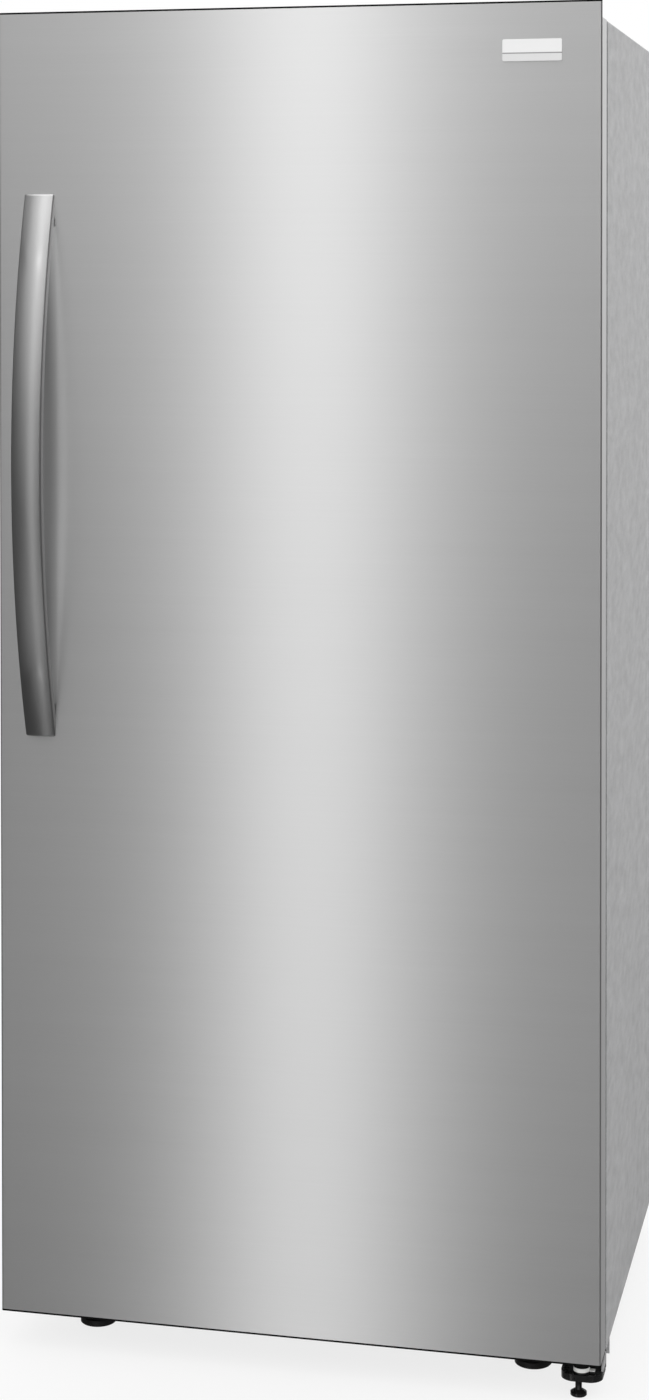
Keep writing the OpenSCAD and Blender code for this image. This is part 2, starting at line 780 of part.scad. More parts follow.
// Bottom hinge bracket: a pressed plate with a turned-down lip and rounded front corners
module bracket_plan(in) {
    r = bracket_r - in;
    x = [body_w / 2 - bracket_w + in, body_w / 2 - in];
    y = [bracket_y + in, cabinet_y - hinge_plate_t];
    translate([x[0], y[0] + r]) square([x[1] - x[0], y[1] - y[0] - r]);
    translate([x[0] + r, y[0]]) square([x[1] - x[0] - 2 * r, y[1] - y[0]]);
    for (c = [x[0] + r, x[1] - r]) translate([c, y[0] + r]) circle(r);
}
module bottom_hinge_bracket() color("black") from_front() difference() {
    union() {
        difference() {
            translate([0, 0, bracket_z - bracket_lip]) linear_extrude(bracket_lip) bracket_plan(0);
            translate([0, 0, bracket_z - bracket_lip - cut])
                linear_extrude(bracket_lip - hinge_plate_t + cut) bracket_plan(hinge_plate_t);
            block([0, body_w], [cabinet_y - 2 * hinge_plate_t, cabinet_y], [0, bracket_z - hinge_plate_t]);
        }
        block([body_w / 2 - bracket_w, body_w / 2], [cabinet_y - hinge_plate_t, cabinet_y],
            [base_z, floor_gap - 1]);
        translate([small_foot_x, hinge_y, bracket_z - bracket_lip])
            cylinder(h = bracket_lip, r = foot_boss_r);
    }
    translate([small_foot_x, hinge_y, bracket_z - bracket_lip - cut])
        cylinder(h = bracket_lip - hinge_plate_t + cut, r = small_stem_r + run_clear);
    translate([hinge_x, hinge_y, bracket_z - hinge_plate_t]) cylinder(h = hinge_plate_t + cut, r = pin_r);
    bracket_screw_shanks();
}

module bottom_hinge_pin() color("silver") from_front()
    translate([hinge_x, hinge_y, bracket_z - hinge_plate_t])
        cylinder(h = door_z0 - bracket_z + hinge_plate_t + boss_h - mould_t - 2, r = pin_r);

// Lower half of the closer cam: a nylon ring with a tab that keeps it from turning
module closer_cam() color("white") from_front() difference() {
    union() {
        translate([hinge_x, hinge_y, bracket_z]) cylinder(h = cam_h, r = cam_r);
        block([hinge_x, hinge_x + cam_r + cam_tab], around(hinge_y, cam_tab / 2),
            [bracket_z, bracket_z + cam_h / 2]);
    }
    translate([hinge_x, hinge_y, 0]) cylinder(h = door_z0, r = pin_r);
}

module hinge_screws() color("silver") from_front() {
    hinge_screw_shanks();
    bracket_screw_shanks();
    for (p = top_screws) translate([p[0], p[1], cabinet_z1 + hinge_plate_t])
        cylinder(h = screw_head_h, r = screw_head_r, $fn = 6);
    for (x = bracket_screws) translate([x, 0, bracket_screw_z])
        along_y(cabinet_y - hinge_plate_t - screw_head_h)
            cylinder(h = screw_head_h, r = screw_head_r, $fn = 6);
}

// Feet and rollers

// A screw-in foot: a pad with a chamfered sole and a sloping top, and its stem
module leveller(x, y, pad_r, pad_h, r, top) translate([x, y, 0]) {
    chamfer = 1;
    rim_h = 0.6 * pad_h;
    neck_r = 0.55 * pad_r;
    rotate_extrude() polygon([
        [0, 0], [pad_r - chamfer, 0], [pad_r, chamfer], [pad_r, rim_h], [neck_r, pad_h], [0, pad_h]
    ]);
    translate([0, 0, pad_h - cut]) cylinder(h = top - pad_h + cut, r = r);
}
module front_foot(s) color("black") from_front()
    leveller(s * foot_x, foot_y, foot_r, foot_h, stem_r, floor_gap - rail_t);
module front_foot_left() front_foot(-1);
module front_foot_right() front_foot(1);
module bracket_foot() color("black") from_front()
    leveller(small_foot_x, hinge_y, small_foot_r, small_foot_h, small_stem_r,
        bracket_z - hinge_plate_t - soft_gap);

// Two cheeks under each channel with an axle through them, rounded below the axle
module roller_brackets() color("gray") from_front() for (s = [-1, 1]) translate([s * foot_x, roller_y, 0]) {
    for (e = [-1, 1]) along_x(e * (roller_w / 2 + wheel_gap + rail_t / 2) - rail_t / 2)
        linear_extrude(rail_t) {
        translate([0, roller_r]) circle(hub_r);
        translate([-hub_r, roller_r]) square([2 * hub_r, floor_gap - rail_t - roller_r]);
    }
    translate([0, 0, roller_r]) rotate([0, 90, 0])
        cylinder(h = roller_w + 4 * wheel_gap + 2 * rail_t, r = axle_r, center = true);
}
module roller(s) color("dimgray") from_front() translate([s * foot_x, roller_y, roller_r]) rotate([0, 90, 0])
    difference() {
        cylinder(h = roller_w, r = roller_r, center = true);
        cylinder(h = roller_w + 2 * cut, r = axle_r + run_clear, center = true);
        for (e = [-1, 1]) translate([0, 0, e * roller_w / 2]) difference() {
            cylinder(h = roller_w / 3, r = roller_r - tread_w, center = true);
            cylinder(h = roller_w / 2, r = hub_r, center = true);
        }
    }
module rear_roller_left() roller(-1);
module rear_roller_right() roller(1);

// Shelves and drawers

// Plan of a shelf, drawn in from the outside by a margin
module shelf_plan(y0, in) rounded(shelf_w - 2 * in, shelf_back - y0 - 2 * in, shelf_r - in / 5);

// A moulded rim round a pane that lies in a rebate
module shelf_frame(z, y0) color("white") from_front() translate([0, (y0 + shelf_back) / 2, z]) difference() {
    linear_extrude(shelf_t) shelf_plan(y0, 0);
    translate([0, 0, -cut]) linear_extrude(shelf_t + 2 * cut) shelf_plan(y0, rim_w);
    translate([0, 0, shelf_t - glass_t]) linear_extrude(glass_t + cut) shelf_plan(y0, rebate);
}
module shelf_glass(z, y0) color("lightcyan", 0.5) from_front()
    translate([0, (y0 + shelf_back) / 2, z + shelf_t - glass_t]) linear_extrude(glass_t)
        shelf_plan(y0, rebate + glass_gap);

// The lower shelf's frame also carries the two rails of the deli drawer
module shelf_frame_lower() color("white") {
    shelf_frame(step_height(0), shelf_front);
    from_front() for (s = [-1, 1]) {
        z = step_height(0) - deli_rail_h;
        x = deli_w / 2 + guide_gap;
        block(span(s * x, s * (x + mould_t)), [shelf_front + rebate, shelf_back - rebate],
            [z, step_height(0) + shelf_t - glass_t]);
        block(span(s * (x - deli_lip), s * (x + mould_t)), [deli_front + front_t + cut, shelf_back - rebate],
            [z - mould_t, z]);
    }
}
module shelf_frame_middle() shelf_frame(step_height(1), shelf_front);
module shelf_frame_upper() shelf_frame(step_height(2), shelf_front);
module shelf_glass_lower() shelf_glass(step_height(0), shelf_front);
module shelf_glass_middle() shelf_glass(step_height(1), shelf_front);
module shelf_glass_upper() shelf_glass(step_height(2), shelf_front);

// The crisper cover's front rim has a groove for each humidity slider
module crisper_cover_frame() color("white") difference() {
    shelf_frame(step_z, cover_front);
    from_front() for (s = [-1, 1]) slider_groove(s);
}
module crisper_cover_glass() shelf_glass(step_z, cover_front);

module slider_groove(s) translate([s * crisper_x, cover_front, slider_z])
    block(around(0, slider_w / 2 + slider_travel + 1), [-cut, slider_h], around(0, slider_h / 2));
module humidity_slider(s) color("lightgreen") from_front() translate([s * crisper_x, cover_front, slider_z]) {
    h = slider_h / 2 - soft_gap;
    block(around(0, slider_w / 2), [0, slider_h - soft_gap], [-h, h]);
    block(around(0, slider_knob_r), [-slider_reach, cut], [-h, h]);
    translate([0, -slider_reach, -h]) cylinder(h = 2 * h, r = slider_knob_r);
}
module humidity_slider_left() humidity_slider(-1);
module humidity_slider_right() humidity_slider(1);

// Floor runners for both crispers and the divider that carries the middle of their cover
module crisper_rails() color("white") from_front() {
    y = [cover_front + rim_w / 2, step_y];
    block([-divider_t / 2, divider_t / 2], y, [cavity_z0, step_z]);
    for (x = [-crisper_x - runner_x, -crisper_x + runner_x, crisper_x - runner_x, crisper_x + runner_x])
        block(around(x, runner_w / 2), y, [cavity_z0, cavity_z0 + runner_h]);
}

module tub_layer(w, d, z, in) translate([0, 0, z]) linear_extrude(cut)
    rounded(w - 2 * in, d - 2 * in, tub_r - in, $fn = 32);

// A clear tub with draft on its walls
module tub(w, h, d) difference() {
    hull() {
        tub_layer(w - 2 * draft, d - 2 * draft, 0, 0);
        tub_layer(w, d, h - cut, 0);
    }
    hull() {
        tub_layer(w - 2 * draft, d - 2 * draft, clear_t, clear_t);
        tub_layer(w, d, h, clear_t);
    }
}

// A drawer: tub, a flat front with a rolled grip, and a flanged edge on both sides
module drawer(x, z, y0, w, h, d, r) color("lightblue") from_front() translate([x, y0, z]) {
    translate([0, d / 2 + front_t / 2, 0]) tub(w - 2 * flange_w, h, d - front_t);
    upright(w, [0, h], r, [0, front_t]);
    grip_w = grip_share * w;
    grip_z = h - grip_drop;
    translate([0, -grip_d + grip_r, grip_z]) rotate([0, 90, 0])
        cylinder(h = grip_w, r = grip_r, center = true);
    block(around(0, grip_w / 2), [-grip_d + grip_r, front_t / 2], [grip_z - grip_r, grip_z]);
    for (s = [-1, 1]) block(span(s * (w / 2 - flange_w - clear_t / 2), s * w / 2),
        [front_t / 2, d - tub_r], [h - clear_t, h]);
}
module crisper_left() drawer(-crisper_x, crisper_z, crisper_front, crisper_w, crisper_h, crisper_d, liner_r);
module crisper_right() drawer(crisper_x, crisper_z, crisper_front, crisper_w, crisper_h, crisper_d, liner_r);
module deli_drawer() drawer(0, deli_z, deli_front, deli_w, deli_h, deli_d, front_t);

// Cooling

module air_duct_cover() color("white") from_front() difference() {
    upright(duct_w, duct_z, duct_r, [duct_y, cavity_y1]);
    upright(duct_w - 2 * mould_t, duct_z + [mould_t, -mould_t], duct_r - mould_t,
        [duct_y + mould_t, cavity_y1 + cut]);
    for (row = louvre_rows, n = [0:2], s = [-1, 1])
        translate([s * duct_w / 4, 0, duct_z[0] + row * (duct_z[1] - duct_z[0]) + n * louvre_pitch])
            along_y(duct_y - cut) linear_extrude(mould_t + 2 * cut)
                rounded(louvre_w, louvre_h, louvre_h / 2 - soft_gap);
}

// A tube that runs back and forth, joined by return bends at alternate ends
module serpentine(w, passes, pitch) {
    for (n = [0:passes - 1]) translate([0, 0, n * pitch])
        rotate([0, 90, 0]) cylinder(h = w, r = tube_r, center = true);
    for (n = [0:passes - 2]) mirror([n % 2, 0, 0]) translate([w / 2, 0, (n + 0.5) * pitch])
        rotate([90, 0, 0]) rotate([0, 0, -90])
            rotate_extrude(angle = 180) translate([pitch / 2, 0]) circle(tube_r);
}

// Finned coil: passes of tube through a row of thin fins
module evaporator() color("silver") from_front() translate([0, cavity_y1 - fin_d / 2, evaporator_z]) {
    serpentine(coil_w, coil_passes, coil_pitch);
    for (n = [0:evaporator_fins - 1]) {
        x = (n / (evaporator_fins - 1) - 0.5) * (coil_w - 4 * tube_r);
        block(around(x, fin_t / 2), around(0, fin_d / 2),
            [-coil_pitch / 2, (coil_passes - 0.5) * coil_pitch]);
    }
}

// Axial fan: pitched blades round a hub that runs on the motor's shaft
module fan_wheel() difference() {
    union() {
        cylinder(h = fan_hub_h, r = fan_hub_r);
        intersection() {
            for (n = [0:fan_blades - 1]) rotate([0, 0, n * 360 / fan_blades])
                translate([fan_hub_r / 2, 0, fan_hub_h / 2]) rotate([blade_angle, 0, 0])
                    block([0, fan_r], around(0, fan_hub_r), around(0, blade_t / 2));
            cylinder(h = fan_hub_h, r = fan_r);
        }
    }
    translate([0, 0, -cut]) cylinder(h = fan_hub_h + 2 * cut, r = shaft_r + run_clear);
}
// The motor sits just behind the wheel, with its shaft through the hub
module fan_motor(r, l) {
    translate([0, 0, fan_hub_h + motor_gap]) cylinder(h = l, r = r);
    translate([0, 0, -shaft_end]) cylinder(h = fan_hub_h + 2 * shaft_end, r = shaft_r);
}
module evaporator_fan() color("white") from_front() translate([0, 0, fan_z]) along_y(fan_y) fan_wheel();
module evaporator_fan_motor() color("dimgray") from_front() translate([0, 0, fan_z])
    along_y(fan_y) fan_motor(fan_hub_r + 2, cavity_y1 - fan_y - fan_hub_h - motor_gap);

module at_condenser_fan() from_front() translate([condenser_fan_x, machine_mid, condenser_fan_z])
    rotate([0, 90, 0]) children();
module condenser_fan() color("black") at_condenser_fan() fan_wheel();
// Motor with its sheet bracket, which is open round the motor
module condenser_fan_motor() color("gray") {
    at_condenser_fan() fan_motor(motor_r, motor_l);
    from_front() difference() {
        x = condenser_fan_x + fan_hub_h + motor_gap + motor_l;
        hole = fan_r + 4;
        edge = hole + 6;
        block([x, x + plate_t], around(machine_mid, edge), [machine_floor, condenser_fan_z + edge]);
        for (s = [-1, 1]) block([x - cut, x + plate_t + cut],
            span(machine_mid + s * (motor_r + 4), machine_mid + s * hole), around(condenser_fan_z, hole));
    }
}

// Welded compressor: a drawn shell in two halves with a seam flange, on a foot plate and rubber grommets
module compressor() color("black") from_front() translate([compressor_x, machine_mid, machine_floor]) {
    r = compressor_r;
    rotate_extrude() polygon([
        [0, shell_z], [0.65 * r, shell_z], [0.87 * r, shell_z + 8], [r, shell_z + 24],
        [r, seam_z - 1], [r + seam_w, seam_z], [r + seam_w, seam_z + 6], [r, seam_z + 7],
        [r, shell_z1 - 36], [0.9 * r, shell_z1 - 18], [0.65 * r, shell_z1 - 6], [0, shell_z1]
    ]);
    translate([0, 0, shell_z - 4]) linear_extrude(5) rounded(2 * r + 4 * grommet_r, 1.5 * r, grommet_r);
    for (x = [-1, 1], y = [-1, 1]) translate([x * (r + grommet_r), y * (0.75 * r - grommet_r), 0]) {
        cylinder(h = shell_z - 4, r = grommet_r);
        cylinder(h = shell_z + 6, r = grommet_r - 4);
    }
}

// Two rows of folded tube between end plates, which the fan draws air through
module condenser() color("black") from_front() translate([condenser_x, machine_mid, condenser_z]) {
    for (row = [-1, 1]) translate([0, row * condenser_pitch, 0])
        serpentine(condenser_w, condenser_passes, condenser_pitch);
    for (s = [-1, 1]) block(around(s * plate_share * condenser_w, plate_t / 2),
        around(0, 1.6 * condenser_pitch),
        [machine_floor - condenser_z, (condenser_passes - 0.5) * condenser_pitch]);
}

// Pan under the condenser that melt water runs into
module drain_pan() color("black") from_front() translate([condenser_x, machine_mid, machine_floor])
    difference() {
    w = 2 * plate_share * condenser_w - 10 * plate_t;
    d = 3 * condenser_pitch;
    linear_extrude(pan_h) rounded(w, d, pan_r);
    translate([0, 0, mould_t]) linear_extrude(pan_h)
        rounded(w - 2 * mould_t, d - 2 * mould_t, pan_r - mould_t);
}

// Pressed cover with columns of air slots and an opening for the power inlet
module machine_cover() color("gray") from_front() difference() {
    w = body_w - 2 * sheet_t;
    z = [machine_floor, machine_z1];
    along_y(back_y - sheet_t) linear_extrude(sheet_t) translate([0, (z[0] + z[1]) / 2])
        rounded(w, z[1] - z[0], 1);
    for (c = [0:slot_columns - 1], n = [0:cover_slots - 1])
        translate([(c - (slot_columns - 1) / 2) * (slot_w + slot_margin), 0,
            machine_floor + slot_z + n * slot_pitch])
            along_y(back_y - 2 * sheet_t) linear_extrude(3 * sheet_t)
                rounded(slot_w, slot_h, slot_h / 2 - 0.1);
    inlet_block(back_y + cut);
}

// Recessed socket that stands on the machine compartment's floor and shows through the cover
module inlet_block(y1)
    block(around(inlet_x, inlet_w / 2), [back_y - inlet_d, y1], [machine_floor, machine_floor + inlet_h]);
module power_inlet() color("black") from_front() {
    z = machine_floor + inlet_h / 2;
    floor_y = back_y - inlet_d + 8;
    difference() {
        inlet_block(back_y);
        translate([inlet_x, 0, z]) along_y(floor_y) linear_extrude(inlet_d)
            rounded(inlet_w - 10, inlet_h - 8, 3);
    }
    // Three contact blades
    for (n = [-1:1]) block(around(inlet_x + n * 7, 1), [floor_y - cut, back_y - 4],
        around(z + 2 - 4 * abs(n), 2));
}

// Controls and light

module light_lens() color("white") from_front() {
    translate([0, lens_y, cavity_z1 - lens_h]) linear_extrude(lens_h)
        rounded(lens_w - lens_h, lens_d - lens_h, lens_r);
    translate([0, lens_y, cavity_z1 - lens_h / 2]) linear_extrude(lens_h / 2) rounded(lens_w, lens_d, lens_r);
}

// Housing that hangs under the top of the cavity: sloped floor, display window and button holes
module control_housing() color("whitesmoke") from_front() difference() {
    along_x(-panel_w / 2) linear_extrude(panel_w) polygon([
        [panel_y0, cavity_z1 - panel_h], [panel_y1, cavity_z1 - panel_back_h],
        [panel_y1, cavity_z1], [panel_y0, cavity_z1]
    ]);
    along_x(-panel_w / 2 + mould_t) linear_extrude(panel_w - 2 * mould_t) polygon([
        [panel_y0 + mould_t, cavity_z1 - panel_h + mould_t],
            [panel_y1 - mould_t, cavity_z1 - panel_back_h + mould_t],
        [panel_y1 - mould_t, cavity_z1 + cut], [panel_y0 + mould_t, cavity_z1 + cut]
    ]);
    block(around(0, display_w / 2), [panel_y0 - cut, panel_y0 + mould_t / 3], around(panel_z, button_r));
    for (x = button_xs) translate([x, 0, panel_z]) along_y(panel_y0 - cut)
        cylinder(h = mould_t + 2 * cut, r = button_r + soft_gap / 2);
}

// A button with a collar behind the housing's face
module push_button(x) color("dimgray") from_front() translate([x, 0, panel_z]) {
    along_y(panel_y0 - button_out - button_travel)
        cylinder(h = button_out + button_travel + mould_t + 1, r = button_r);
    along_y(panel_y0 + mould_t + soft_gap) cylinder(h = 2, r = button_r + button_collar);
}
module temperature_up_button() push_button(button_xs[0]);
module temperature_down_button() push_button(button_xs[1]);
module alarm_button() push_button(button_xs[2]);

cabinet_wrapper();
back_panel();
base_frame();
cabinet_foam();
inner_liner();
top_hinge();
top_hinge_cover();
bottom_hinge_bracket();
bottom_hinge_pin();
closer_cam();
hinge_screws();
air_duct_cover();
evaporator();
evaporator_fan_motor();
evaporator_fan();
compressor();
condenser();
condenser_fan_motor();
condenser_fan();
drain_pan();
machine_cover();
power_inlet();
light_lens();
control_housing();
temperature_up_button();
temperature_down_button();
alarm_button();
shelf_frame_lower();
shelf_frame_middle();
shelf_frame_upper();
shelf_glass_lower();
shelf_glass_middle();
shelf_glass_upper();
crisper_cover_frame();
crisper_cover_glass();
crisper_rails();
crisper_left();
crisper_right();
humidity_slider_left();
humidity_slider_right();
deli_drawer();
front_foot_left();
front_foot_right();
bracket_foot();
roller_brackets();
rear_roller_left();
rear_roller_right();
door_skin();
door_foam();
door_liner();
door_top_cap();
door_bottom_cap();
door_gasket();
handle();
badge_plate();
door_bin_lowest();
door_bin_lower();
door_bin_upper();
dairy_bin();
dairy_lid();
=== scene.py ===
# %% [markdown]
# # A single door refrigerator
#
# The solid parts come from a CAD model that is loaded as a fixed frame. This script gives every part a finish,
# adds the thin and soft details that CAD leaves out, and sets up a camera and a studio round them.
# All sizes are metres. The origin is on the floor, X runs to the hinge side, -Y to the front and Z up.

# %% Load the frame
import math
import bpy
import numpy as np
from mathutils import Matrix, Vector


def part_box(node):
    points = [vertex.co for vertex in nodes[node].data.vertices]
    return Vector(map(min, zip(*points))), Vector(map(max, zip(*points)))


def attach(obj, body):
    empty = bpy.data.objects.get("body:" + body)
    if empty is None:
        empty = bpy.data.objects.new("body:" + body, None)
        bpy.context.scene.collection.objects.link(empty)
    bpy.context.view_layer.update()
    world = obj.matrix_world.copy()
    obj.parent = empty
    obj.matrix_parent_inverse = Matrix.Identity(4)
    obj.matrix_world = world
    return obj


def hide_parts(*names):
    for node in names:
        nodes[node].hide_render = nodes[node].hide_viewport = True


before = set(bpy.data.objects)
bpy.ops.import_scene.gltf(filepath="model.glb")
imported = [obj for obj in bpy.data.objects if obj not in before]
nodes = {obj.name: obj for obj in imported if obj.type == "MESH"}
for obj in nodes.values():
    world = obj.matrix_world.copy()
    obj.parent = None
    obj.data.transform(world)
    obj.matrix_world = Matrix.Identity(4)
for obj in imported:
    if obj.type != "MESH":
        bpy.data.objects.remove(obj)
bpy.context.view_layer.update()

# %% [markdown]
# ## Camera
#
# The photograph was taken from the right of the door's middle, at about 1.5 m, with the camera held almost level.
# A level camera keeps upright edges upright. It sees the low parts of the object because its picture is shifted
# down, as a view camera does. The fit uses the four corners of the door and the cabinet's upper and lower side
# edges. A shift of 0.37 leaves less than 1 px at each of them, but any other view that keeps such a shift cuts the
# object's top off. A shift of 0.29 with 1 degree of tilt leaves 3 to 4 px and keeps the whole object in view.

# %% Camera
image_h = 1400
focal_px = 2598.6
axis_px = 300.2
sensor_mm = 36.0
yaw, tilt, roll = math.radians(13.069), math.radians(0.965), math.radians(0.029)
camera_at = (0.834, -3.695, 1.5156)

camera = bpy.data.objects.new("camera", bpy.data.cameras.new("camera"))
bpy.context.scene.collection.objects.link(camera)
camera.location = camera_at
camera.rotation_euler = (math.pi / 2 - tilt, roll, yaw)
camera.data.sensor_width = sensor_mm
camera.data.lens = focal_px * sensor_mm / image_h
camera.data.shift_y = (axis_px - image_h / 2) / image_h
bpy.context.scene.camera = camera
print("lens mm:", round(camera.data.lens, 2), "shift:", round(camera.data.shift_y, 4))

# %% [markdown]
# ## Shader expressions
#
# A finish is a formula over the surface: a grain is a stretched noise, a mottle is a mix of two noises.
# Nodes wired by hand hide the formula. Here one class wraps a socket and lets Python's own operators add the
# Math nodes, so `0.3 + 0.1 * grain` is both the formula and the network. One method makes nearly all the others.

# %% Shader expressions
class Value:
    """A number that varies over a surface. Arithmetic on it adds Math nodes."""

    def __init__(self, finish, socket):
        self.finish, self.socket = finish, socket

    def math(self, operation, *values):
        return self.finish.node("Math", {"operation": operation}, dict(enumerate(values)))

    def __add__(self, other): return self.math("ADD", self, other)
    def __radd__(self, other): return self.math("ADD", other, self)
    def __sub__(self, other): return self.math("SUBTRACT", self, other)
    def __rsub__(self, other): return self.math("SUBTRACT", other, self)
    def __mul__(self, other): return self.math("MULTIPLY", self, other)
    def __rmul__(self, other): return self.math("MULTIPLY", other, self)
    def __truediv__(self, other): return self.math("DIVIDE", self, other)


class Finish:
    """A material under construction: a Principled shader and the nodes that feed it."""

    # The Mix node repeats its sockets for every type of value; these are the ones for colours
    COLOUR_A, COLOUR_B, COLOUR_RESULT = 6, 7, 2

    def __init__(self, name, **constants):
        self.material = bpy.data.materials.new(name)
        self.material.use_nodes = True
        self.tree = self.material.node_tree
        self.shader = self.tree.nodes["Principled BSDF"]
        for socket, value in constants.items():
            self.set(socket, value)

    def node(self, kind, settings=None, inputs=None, output=0):
        """Makes one node: its settings first, then the value or link of each socket."""
        made = self.tree.nodes.new("ShaderNode" + kind)
        for key, value in (settings or {}).items():
            setattr(made, key, value)
        for key, value in (inputs or {}).items():
            self.feed(made.inputs[key], value)
        return Value(self, made.outputs[output])

    def feed(self, socket, value):
        if isinstance(value, Value):
            self.tree.links.new(value.socket, socket)
        else:
            socket.default_value = value

    def set(self, socket, value):
        """Sets a socket of the shader; its name is given with underscores."""
        if isinstance(value, tuple) and len(value) == 3 and "Color" in socket:
            value = (*value, 1.0)
        self.feed(self.shader.inputs[socket.replace("_", " ")], value)
        return self

    def place(self, scale=(1, 1, 1)):
        """Object coordinates, stretched by a scale on each axis."""
        at = self.node("TexCoord", output="Object")
        return self.node("Mapping", {"vector_type": "POINT"}, {"Vector": at, "Scale": scale})

    def noise(self, scale, detail=2.0, rough=0.5):
        """Noise from 0 to 1 with that many cells a metre on X, Y and Z."""
        inputs = {"Vector": self.place(scale), "Scale": 1.0, "Detail": detail, "Roughness": rough}
        return self.node("TexNoise", {}, inputs)

    def axis(self, index):
        """The X, Y or Z coordinate of the surface in metres."""
        return self.node("SeparateXYZ", {}, {"Vector": self.place()}, output=index)

    def mix(self, factor, low, high):
        """A colour between two colours."""
        made = self.tree.nodes.new("ShaderNodeMix")
        made.data_type = "RGBA"
        self.feed(made.inputs["Factor"], factor)
        for index, value in ((self.COLOUR_A, low), (self.COLOUR_B, high)):
            self.feed(made.inputs[index], value if isinstance(value, Value) else (*value, 1.0))
        return Value(self, made.outputs[self.COLOUR_RESULT])

    def bump(self, height, distance, strength=1.0):
        """Feeds a height in units of distance (metres) into the shader's normal."""
        self.set("Normal", self.node("Bump", {}, {"Strength": strength, "Distance": distance, "Height": height}))
        return self


def smooth_between(value, low, high):
    """0 below low, 1 above high and a straight ramp between."""
    return value.finish.node("MapRange", {"clamp": True}, {"Value": value, "From Min": low, "From Max": high})


def finish_nodes(finish, *names):
    """Gives a CAD node the finish in place of its plain packed colour."""
    for name in names:
        nodes[name].data.materials.clear()
        nodes[name].data.materials.append(finish.material)
    print(finish.material.name, "->", len(names), "nodes")


# %% [markdown]
# ## Brushed steel
#
# The door's skin and the handle are brushed stainless steel. The grain's lines run across the door, so each
# reflection is drawn out up and down it: that is why the photograph shows one upright bright band. Painting the
# band into the colour would be wrong from any other side. The grain here is three things: an anisotropic shader for
# the stretch, a very fine stretched noise in the roughness, and the same noise as a faint bump. The stretch keeps
# the shader's own tangent, which runs round the upright axis, so nothing is linked to that socket.

# %% Brushed steel
X, Y, Z = 0, 1, 2


def grey(level):
    return (level, level, level)


def grain_cells(along, lengthways, across):
    """Cells a metre on each axis: few along the grain and many across it."""
    return tuple(lengthways if axis == along else across for axis in (X, Y, Z))


def steel(name, along, roughness, stretch, relief, rotation):
    """Steel with its grain along one axis: the noise is stretched along it and fine across it."""
    made = Finish(name, Metallic=1.0, Anisotropic=stretch, Anisotropic_Rotation=rotation)
    fine = made.noise(grain_cells(along, 4.0, 900.0), detail=3.0)
    broad = made.noise(grain_cells(along, 0.6, 40.0), detail=2.0)
    made.set("Roughness", roughness - 0.03 + 0.04 * fine + 0.02 * broad)
    made.grain = 0.6 * fine + 0.4 * broad
    made.bump(fine, relief, 0.5)
    return made


door_steel = steel("door_steel", along=X, roughness=0.40, stretch=0.82, relief=0.000004, rotation=0.25)
door_tone = 0.62
door_steel.set("Base_Color", door_steel.mix(door_steel.grain, grey(0.96 * door_tone), grey(1.04 * door_tone)))
finish_nodes(door_steel, "door_skin")

# %% [markdown]
# ## Badge plate
#
# The plate near the top corner is bare: a bright satin upper part, a thin dark line and a grey lower part.
# The parts differ in colour only, so one finish splits them by height, measured from the plate's own box.

# %% Badge plate
low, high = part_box("badge_plate")
plate = Finish("badge_plate", Metallic=0.0, Roughness=0.4)
height = plate.axis(Z)
line_share, blur = 0.37, 0.0004
line_z = low[Z] + line_share * (high[Z] - low[Z])
upper = smooth_between(height, line_z + blur, line_z + 2 * blur)
lower = plate.mix(smooth_between(height, line_z - 3 * blur, line_z - 2 * blur), grey(0.74), grey(0.30))
plate.set("Base_Color", plate.mix(upper, lower, grey(0.86)))
plate.bump(plate.noise((900, 900, 900)), 0.00001)
finish_nodes(plate, "badge_plate")
print("plate line at", round(line_z, 4))

# %% [markdown]
# ## Painted and plated sheet
#
# The cabinet is coated sheet with a pebbled, faintly mottled paint. A fine noise as a bump gives the pebbles, and
# mixed with a broader noise it gives the mottle. The sheets at the back are dull zinc, whose spangle is a Voronoi
# pattern with a small change of tone from cell to cell. The compressor and the condenser are painted black.

# %% Painted and plated sheet
cabinet_paint = Finish("cabinet_paint", Metallic=0.0)
pebble = cabinet_paint.noise((330, 330, 330), detail=3.0)
mottle = cabinet_paint.noise((28, 28, 60), detail=4.0, rough=0.6)
worn = smooth_between(0.6 * mottle + 0.4 * pebble, 0.30, 0.70)
cabinet_paint.set("Base_Color", cabinet_paint.mix(worn, (0.335, 0.335, 0.34), (0.505, 0.505, 0.51)))
cabinet_paint.set("Roughness", 0.40 + 0.2 * pebble)
cabinet_paint.bump(pebble, 0.0006, 0.6)
finish_nodes(cabinet_paint, "cabinet_wrapper", "base_frame")

zinc = Finish("zinc_sheet", Metallic=0.9)
cells = {"Vector": zinc.place((70, 70, 70)), "Scale": 1.0}
spangle = zinc.node("TexVoronoi", {"feature": "F1"}, cells, output="Color")
tone = zinc.node("SeparateColor", {}, {"Color": spangle})
zinc.set("Base_Color", zinc.mix(tone, (0.42, 0.43, 0.45), (0.58, 0.59, 0.61)))
zinc.set("Roughness", 0.36 + 0.16 * tone)
finish_nodes(zinc, "back_panel", "machine_cover", "condenser_fan_motor")

black_paint = Finish("black_paint", Base_Color=(0.016, 0.016, 0.017))
peel = black_paint.noise((240, 240, 240), detail=2.0)
black_paint.set("Roughness", 0.34 + 0.18 * peel).bump(peel, 0.0002, 0.5)
finish_nodes(black_paint, "compressor", "condenser")

gloss_black = Finish("gloss_black", Base_Color=grey(0.006))
ripple = gloss_black.noise((160, 160, 160), detail=2.0)
gloss_black.set("Roughness", 0.20 + 0.12 * ripple).bump(ripple, 0.0001, 0.5)
finish_nodes(gloss_black, "bottom_hinge_bracket", "bracket_foot")

